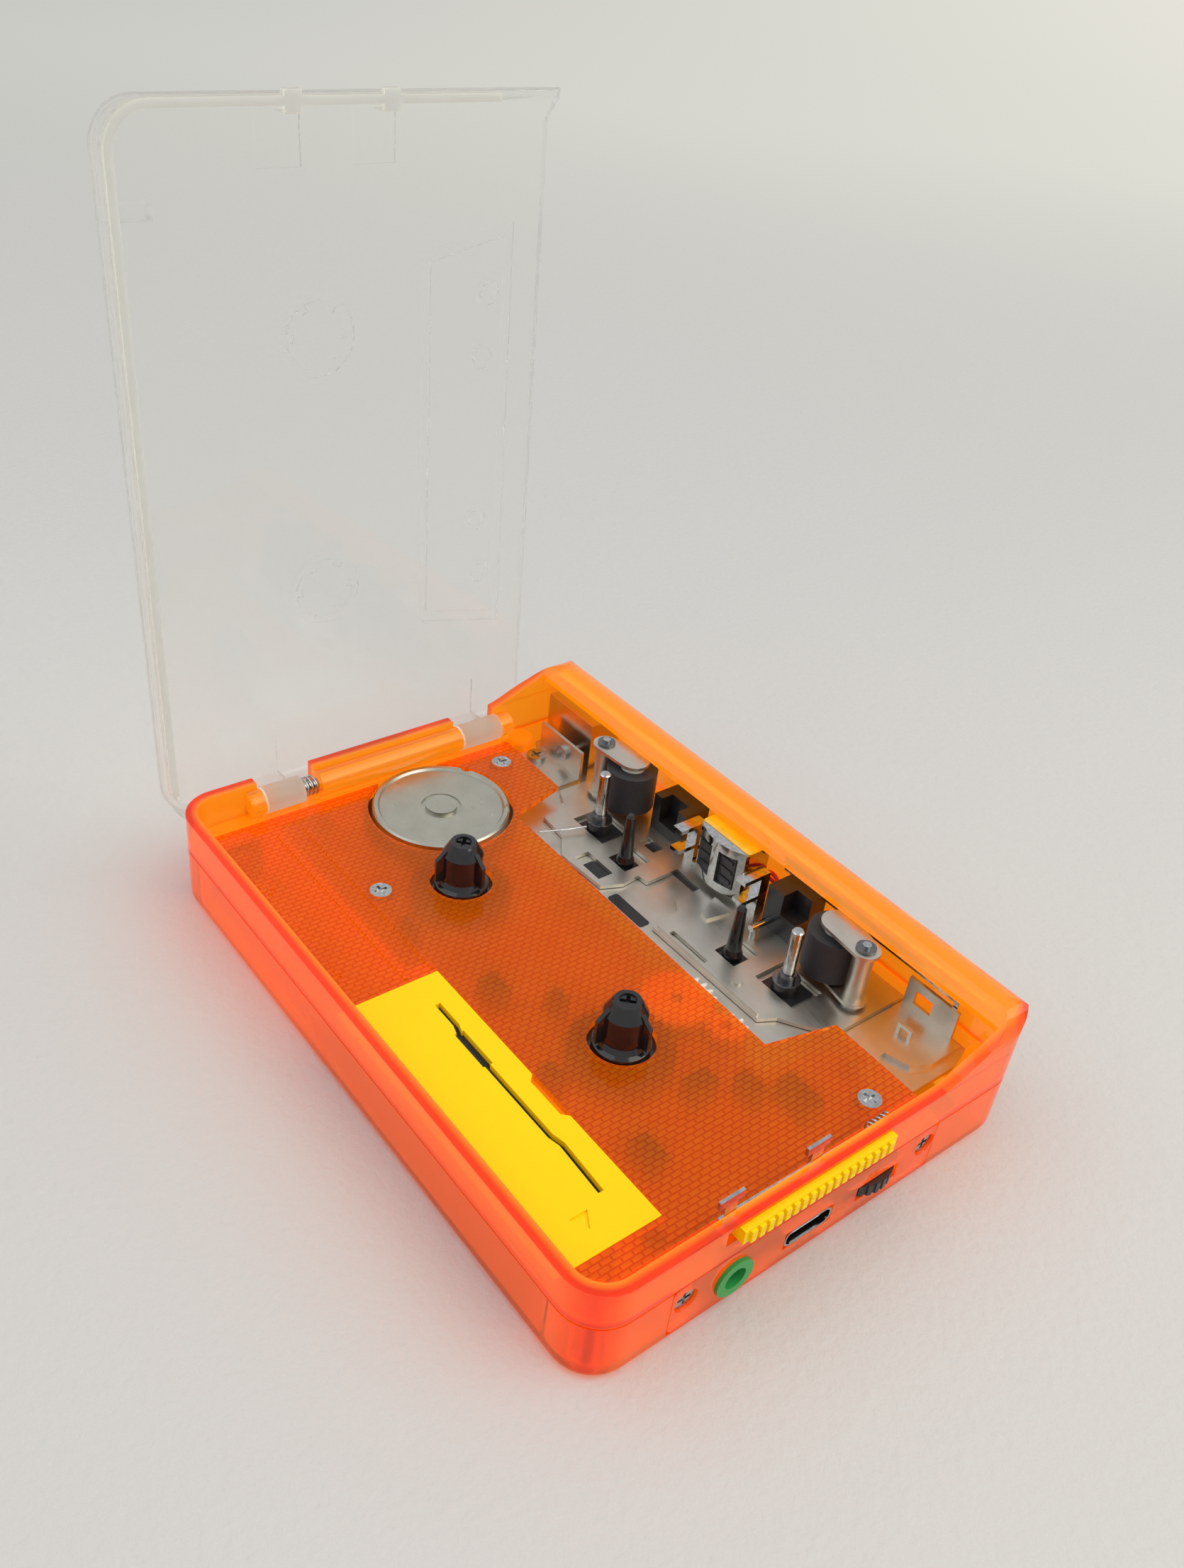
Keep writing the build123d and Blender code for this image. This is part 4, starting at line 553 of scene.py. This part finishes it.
def surface_piece(name, points, faces, material, body, smooth=True):
    """A mesh from arrays of points in metres and face corners, riding on a body."""
    mesh = bpy.data.meshes.new(name)
    mesh.from_pydata(np.asarray(points).reshape(-1, 3).tolist(), [], np.asarray(faces).tolist())
    mesh.materials.append(material)
    mesh.polygons.foreach_set("use_smooth", [smooth] * len(mesh.polygons))
    mesh.update()
    piece = bpy.data.objects.new(name, mesh)
    bpy.context.scene.collection.objects.link(piece)
    if body:
        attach(piece, body)
    return piece


def grid_faces(rows, columns, wrap):
    """Quads of a grid of points, closed round its columns when wrap is true."""
    i, j = np.meshgrid(np.arange(rows - 1), np.arange(columns if wrap else columns - 1), indexing="ij")
    k = (j + 1) % columns
    corners = [i * columns + j, i * columns + k, (i + 1) * columns + k, (i + 1) * columns + j]
    return np.stack(corners, -1).reshape(-1, 4)


def rounded_plate(centre, size, corner, low, high, around=8):
    """A flat plate with rounded corners and softened edges, as points and faces in millimetres.

    Its outline is a rectangle's four corner arcs; the outline shrinks by a softening of a twelfth of the
    thickness at the top and bottom, and the rings are closed to a point at each end.
    """
    arc = np.linspace(0.0, np.pi / 2, around)
    starts = np.arange(4)[:, None] * np.pi / 2
    angles = (arc[None] + starts).ravel()
    signs = np.repeat(np.array(((1, 1), (-1, 1), (-1, -1), (1, -1))), around, axis=0)
    soft = (high - low) / 12
    rings = []
    levels = ((None, low), (soft, low), (0.0, low + soft), (0.0, high - soft), (soft, high), (None, high))
    for shrink, z in levels:
        if shrink is None:
            ring = np.zeros((4 * around, 2))
        else:
            half = np.array(size) / 2 - shrink - corner
            ring = signs * half + corner * np.stack((np.cos(angles), np.sin(angles)), -1)
        rings.append(np.concatenate((ring + np.array(centre), np.full((4 * around, 1), z)), -1))
    return np.array(rings) * MM, grid_faces(len(rings), 4 * around, True)


def tube_along(path, radius, sides=12):
    """A round lead along points in millimetres: rings of radius about a curve, square to its direction.

    From a to b the curve is half of 2a + (b - c)t + (2c - 5a + 4b - d)t^2 + (3a - c - 3b + d)t^3, with c the
    point before a and d the point after b. The direction at each ring is the difference of its neighbours.
    """
    path = np.array(path, dtype=float)
    spans = np.linspace(0.0, len(path) - 1, 6 * len(path))
    low = np.clip(spans.astype(int), 0, len(path) - 2)
    share = (spans - low)[:, None]
    before, after = path[np.clip(low - 1, 0, None)], path[np.clip(low + 2, None, len(path) - 1)]
    a, b = path[low], path[low + 1]
    line = 0.5 * (
        2 * a
        + (b - before) * share
        + (2 * before - 5 * a + 4 * b - after) * share**2
        + (3 * a - before - 3 * b + after) * share**3
    )
    along = np.gradient(line, axis=0)
    along /= np.linalg.norm(along, axis=1)[:, None]
    across = np.cross(along, (0.31, 0.17, 0.93))
    across /= np.linalg.norm(across, axis=1)[:, None]
    up = np.cross(along, across)
    turn = np.linspace(0.0, 2 * np.pi, sides, endpoint=False)[None, :, None]
    rings = line[:, None] + radius * (np.cos(turn) * across[:, None] + np.sin(turn) * up[:, None])
    ends = [np.repeat(line[k][None, None], sides, axis=1) for k in (0, -1)]
    rings = np.concatenate((ends[0], rings, ends[1]))
    return rings * MM, grid_faces(len(rings), sides, True)[:, ::-1]


def joined(parts):
    """Several sets of points and faces as one."""
    points, faces, count = [], [], 0
    for part_points, part_faces in parts:
        flat = np.asarray(part_points).reshape(-1, 3)
        points.append(flat)
        faces.append(np.asarray(part_faces) + count)
        count += len(flat)
    return np.concatenate(points), np.concatenate(faces)


def closed_piece(name, parts, material, body):
    """A piece from closed surfaces: doubles merged, faces outwards, flat sides kept crisp."""
    points, faces = joined(parts)
    piece = surface_piece(name, points, faces, material, body)
    work = bmesh.new()
    work.from_mesh(piece.data)
    bmesh.ops.remove_doubles(work, verts=work.verts, dist=MERGED * MM)
    bmesh.ops.dissolve_degenerate(work, edges=work.edges, dist=VANISHING * MM)
    bmesh.ops.recalc_face_normals(work, faces=work.faces)
    work.to_mesh(piece.data)
    work.free()
    piece.data.set_sharp_from_angle(angle=radians(CRISP_ANGLE))
    return piece


class CaseColours(bpy.types.PropertyGroup):
    """Colours of the case and of the solid yellow parts."""

    shell: FloatVectorProperty(
        name="Case", description="Tint of the clear case", subtype="COLOR", size=4, default=linear("#FF9228")
    )
    door: FloatVectorProperty(
        name="Door, knob and keys",
        description="Colour of the solid yellow parts",
        subtype="COLOR",
        size=4,
        default=linear("#FFDA00"),
    )


class StageSizes(bpy.types.PropertyGroup):
    """Sizes and light of the stage."""

    floor: FloatProperty(
        name="Floor", description="Width of the paper sheet", unit="LENGTH", default=4.0, min=0.5
    )
    sky: FloatProperty(
        name="Sky light", description="Strength of the light from all round", default=0.72, min=0.0
    )
    window: FloatProperty(
        name="Window light", description="Power of the window light in watts", default=5.0, min=0.0
    )


class PLAYER_OT_stage(bpy.types.Operator):
    """Lays the paper, hangs the lights and sets the camera"""

    bl_idname = "player.stage"
    bl_label = "Stage"

    def execute(self, context):
        sizes = context.scene.player_stage
        half = sizes.floor / 2
        steps = np.linspace(0.0, 1.0, PAPER_ROWS)
        turn = np.clip((steps - CURVE_START) / CURVE_SPAN, 0, 1) * radians(CURVE_SLOPE)
        run = sizes.floor / (PAPER_ROWS - 1)
        back = np.cumsum(np.cos(turn)) * run
        rise = np.cumsum(np.sin(turn)) * run
        away = Vector((CAMERA_FORWARD[0], CAMERA_FORWARD[1], 0)).normalized()
        side = Vector((away.y, -away.x, 0))
        across = np.linspace(-half, half, 3)
        points = (
            np.array(away * -PAPER_NEAR)[None, None]
            + back[:, None, None] * np.array(away)
            + rise[:, None, None] * np.array((0, 0, 1.0))
            + across[None, :, None] * np.array(side)
        )
        points[..., 2] -= rise[0]
        faces = grid_faces(PAPER_ROWS, len(across), False)[:, ::-1]
        # Painted light: the second colour is the paper's brighter window side
        finish = textured_paper("#CBCAC6", "#D8D6D0", away, side)
        paper = surface_piece("paper_sheet", points, faces, finish, None)
        world = bpy.data.worlds.new("room_light")
        world.use_nodes = True
        background = world.node_tree.nodes["Background"]
        background.inputs["Color"].default_value = linear("#F4F5F7")
        background.inputs["Strength"].default_value = sizes.sky
        context.scene.world = world
        for name, place, width, share, colour in LAMPS:
            self.lamp(name, place, width, sizes.window * share, colour)
        self.camera(context)
        context.scene.view_settings.view_transform = "Standard"
        return {"FINISHED"}

    def lamp(self, name, place, width, power, colour):
        """A square soft light that faces the player."""
        light = bpy.data.lights.new(name, "AREA")
        light.size = width
        light.energy = power
        light.color = linear(colour)[:3]
        lamp = bpy.data.objects.new(name, light)
        lamp.location = place
        lamp.rotation_euler = Vector(place).to_track_quat("Z", "Y").to_euler()
        bpy.context.scene.collection.objects.link(lamp)

    def camera(self, context):
        """The photograph's viewpoint."""
        view = bpy.data.cameras.new("camera")
        view.lens = LENS
        view.sensor_width = SENSOR
        view.clip_start = CLIP_START * MM
        camera = bpy.data.objects.new("camera", view)
        right, down, forward = Vector(CAMERA_RIGHT), Vector(CAMERA_DOWN), Vector(CAMERA_FORWARD)
        turn = Matrix((right, -down, -forward)).transposed().to_4x4()
        camera.matrix_world = Matrix.Translation(Vector(CAMERA_PLACE) * MM) @ turn
        context.scene.collection.objects.link(camera)
        context.scene.camera = camera


class PLAYER_OT_case(bpy.types.Operator):
    """Finishes the orange case, its socket strip and the tray"""

    bl_idname = "player.case"
    bl_label = "Case and tray"

    def execute(self, context):
        shell = context.scene.player_colours.shell
        # The third colour is the painted glow of the inner faces
        case = moulded_polycarbonate("case_polycarbonate", shell, "#FFC83A", 0.02)
        dress(case, "upper_shell", "lower_shell")
        dress(moulded_polycarbonate("strip_polycarbonate", "#FF8E28", "#FFA826", 0.06), "end_panel")
        dress(brick_grained_tray(), "deck_plate")
        return {"FINISHED"}


class PLAYER_OT_lid(bpy.types.Operator):
    """Finishes the clear lid"""

    bl_idname = "player.lid"
    bl_label = "Lid"

    def execute(self, context):
        dress(clear_polystyrene(), "lid")
        return {"FINISHED"}


class PLAYER_OT_yellow_parts(bpy.types.Operator):
    """Finishes the battery door, the release knob and the side keys"""

    bl_idname = "player.yellow_parts"
    bl_label = "Yellow parts"

    def execute(self, context):
        yellow = satin_abs("yellow_abs", context.scene.player_colours.door, "#FFCE00")
        dress(yellow, "battery_door", "release_slider", *["side_button_%d" % n for n in range(1, 5)])
        return {"FINISHED"}


class PLAYER_OT_metal_parts(bpy.types.Operator):
    """Finishes the steel plates, shafts, screws and springs"""

    bl_idname = "player.metal_parts"
    bl_label = "Metal parts"

    def execute(self, context):
        plate = zinc_plated("zinc_plated_plate", "#DCD8CE", "#BBB7AC", 0.34)
        dress(plate, "chassis_plate", "head_plate", "corner_bracket", "shield_bracket")
        dress(plate, "left_pinch_arm", "right_pinch_arm")
        dress(zinc_plated("motor_steel", "#C4C3B8", "#A9A89C", 0.3), "motor_can")
        dress(zinc_plated("shield_steel", "#D2C7BA", "#BBAA98", 0.22), "shield_can")
        bright = turned_steel("bright_steel", "#D9DADA", 0.16)
        dress(bright, "hinge_pin", "lid_spring", "latch_spring", "wire_spring", "latch_plate", "key_strip")
        dress(bright, "end_panel_screws", "bottom_screws", "deck_screws", "chassis_screws")
        dress(bright, "battery_contacts", "usb_socket", "axle_pins", "arm_pins")
        polished = turned_steel("polished_steel", "#E2E2E0", 0.1)
        dress(polished, "left_capstan", "right_capstan", "playback_head", "tape_guides")
        dress(turned_steel("dark_plated_steel", "#5A5A5C", 0.25), "arm_clips", "bearing_collars")
        dress(turned_brass(), "motor_pulley")
        return {"FINISHED"}


class PLAYER_OT_moulded_parts(bpy.types.Operator):
    """Finishes the black, white and green plastic parts and the rubber"""

    bl_idname = "player.moulded_parts"
    bl_label = "Moulded parts"

    def execute(self, context):
        gloss = black_acetal("glossy_black_acetal", "#0A0A0B", 0.12)
        dress(gloss, "left_reel_spindle", "right_reel_spindle", "locating_cones")
        satin = black_acetal("satin_black_acetal", "#131315", 0.35)
        dress(satin, "guide_blocks", "head_core", "bearing_housings", "headphone_jack", "usb_foot")
        dress(satin, "volume_wheel", "volume_control")
        dress(moulded_rubber(), "left_pinch_roller", "right_pinch_roller", "motor_collar", "drive_belt")
        dress(natural_acetal(), "clutch_gear", "idler_gear", "left_roller_hub", "right_roller_hub")
        dress(solder_mask(), "circuit_board")
        dress(satin_abs("green_abs", "#3DA955", "#2E8E46", 0.25), "jack_ring")
        return {"FINISHED"}


class PLAYER_OT_board_parts(bpy.types.Operator):
    """Makes the black parts that show through the tray, the painted shadow sheets in the plate's windows and
    the black sheet under the door's slot
    """

    bl_idname = "player.board_parts"
    bl_label = "Parts under the tray"

    def execute(self, context):
        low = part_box("chassis_plate")[1][2] / MM
        parts = []
        for x, y, wide, deep, tall in BOARD_PARTS:
            parts.append(rounded_plate((x, y), (wide, deep), BOARD_CORNER, low, low + tall))
            for foot in np.arange(x - wide / 2 + FOOT_START, x + wide / 2 - FOOT_STOP, FOOT_PITCH):
                for side in (-1, 1):
                    middle = (foot, y + side * (deep / 2 + FOOT_REACH))
                    parts.append(rounded_plate(middle, FOOT_SIZE, FOOT_CORNER, low, low + FOOT_HEIGHT, 4))
        closed_piece("board_parts", parts, black_acetal("moulded_epoxy", "#0D0D0E", 0.45), "case")
        shadow_sheets = []
        # Painted shadow: thin black sheets on the chassis plate, dark where the plate's windows show shade
        for x, y, wide, deep in WINDOW_SHADOW_SHEETS:
            shadow_sheets.append(rounded_plate((x, y), (wide, deep), SHADOW_SHEET_CORNER, low, low + SHADOW_SHEET_HEIGHT, 4))
        closed_piece("painted_window_shadows", shadow_sheets, black_acetal("painted_shadow_black", "#0B0B0C", 0.5), "case")
        door_low, door_high = ([c / MM for c in corner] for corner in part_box("battery_door"))
        # A thin black sheet under the slot of the battery door
        middle = ((door_low[0] + door_high[0]) / 2, door_high[1] - SLOT_BACK)
        size = (door_high[0] - door_low[0] - SLOT_SHEET_SHORTER, SLOT_SHEET_WIDE)
        slot_sheet = rounded_plate(middle, size, SLOT_SHEET_CORNER, door_low[2] + SLOT_SHEET_LOW, door_low[2] + SLOT_SHEET_HIGH)
        closed_piece("door_slot_sheet", [slot_sheet], black_acetal("black_slot_sheet_plastic", "#17100C", 0.8), "battery_door")
        return {"FINISHED"}


class PLAYER_OT_head_leads(bpy.types.Operator):
    """Makes the amber film and the coloured leads of the playback head"""

    bl_idname = "player.head_leads"
    bl_label = "Head film and leads"

    def execute(self, context):
        low, high = ([c / MM for c in corner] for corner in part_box("playback_head"))
        middle = ((low[0] + high[0]) / 2, (low[1] + high[1]) / 2 + FILM_BACK)
        size = (high[0] - low[0] - FILM_MARGIN, (high[1] - low[1]) * FILM_SHARE)
        film = rounded_plate(middle, size, FILM_CORNER, high[2], high[2] + FILM_HEIGHT)
        closed_piece("head_film", [film], amber_film(), "head_slide")
        red, yellow = [], []
        for k in range(3):
            x, y = high[0] - LEAD_START[0], high[1] - LEAD_START[1]
            z = low[2] + LEAD_START[2] + LEAD_PITCH * k
            path = [(x, y, z)] + [(x + along, y + back, z + up) for along, back, up in LEAD_MIDDLE]
            path.append([a + b + k * c for a, b, c in zip((x, y, low[2]), LEAD_END, LEAD_SPREAD)])
            (red if k else yellow).append(tube_along(path, LEAD_RADIUS))
        closed_piece("red_leads", red, lead_sleeve("red_sleeve", "#B90F12", "#DE2222"), "head_slide")
        closed_piece("yellow_lead", yellow, lead_sleeve("yellow_sleeve", "#E0B000", "#FFD21A"), "head_slide")
        return {"FINISHED"}


class PLAYER_PT_panel(bpy.types.Panel):
    """Lists the steps that dress the player, with their settings"""

    bl_idname = "PLAYER_PT_panel"
    bl_label = "Cassette player"
    bl_space_type = "VIEW_3D"
    bl_region_type = "UI"
    bl_category = "Player"

    def draw(self, context):
        for step in STEPS:
            self.layout.operator(step.bl_idname)
        for name in ("shell", "door"):
            self.layout.prop(context.scene.player_colours, name)
        for name in ("floor", "sky", "window"):
            self.layout.prop(context.scene.player_stage, name)


STEPS = (
    PLAYER_OT_stage,
    PLAYER_OT_case,
    PLAYER_OT_lid,
    PLAYER_OT_yellow_parts,
    PLAYER_OT_metal_parts,
    PLAYER_OT_moulded_parts,
    PLAYER_OT_board_parts,
    PLAYER_OT_head_leads,
)
GROUPS = (CaseColours, StageSizes)


def register():
    for item in GROUPS + STEPS + (PLAYER_PT_panel,):
        bpy.utils.register_class(item)
    bpy.types.Scene.player_colours = PointerProperty(type=CaseColours)
    bpy.types.Scene.player_stage = PointerProperty(type=StageSizes)


def unregister():
    del bpy.types.Scene.player_stage
    del bpy.types.Scene.player_colours
    for item in reversed(GROUPS + STEPS + (PLAYER_PT_panel,)):
        bpy.utils.unregister_class(item)


def main():
    """Registers the add-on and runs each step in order."""
    register()
    for step in STEPS:
        group, name = step.bl_idname.split(".")
        getattr(getattr(bpy.ops, group), name)()


if __name__ == "__main__":
    main()
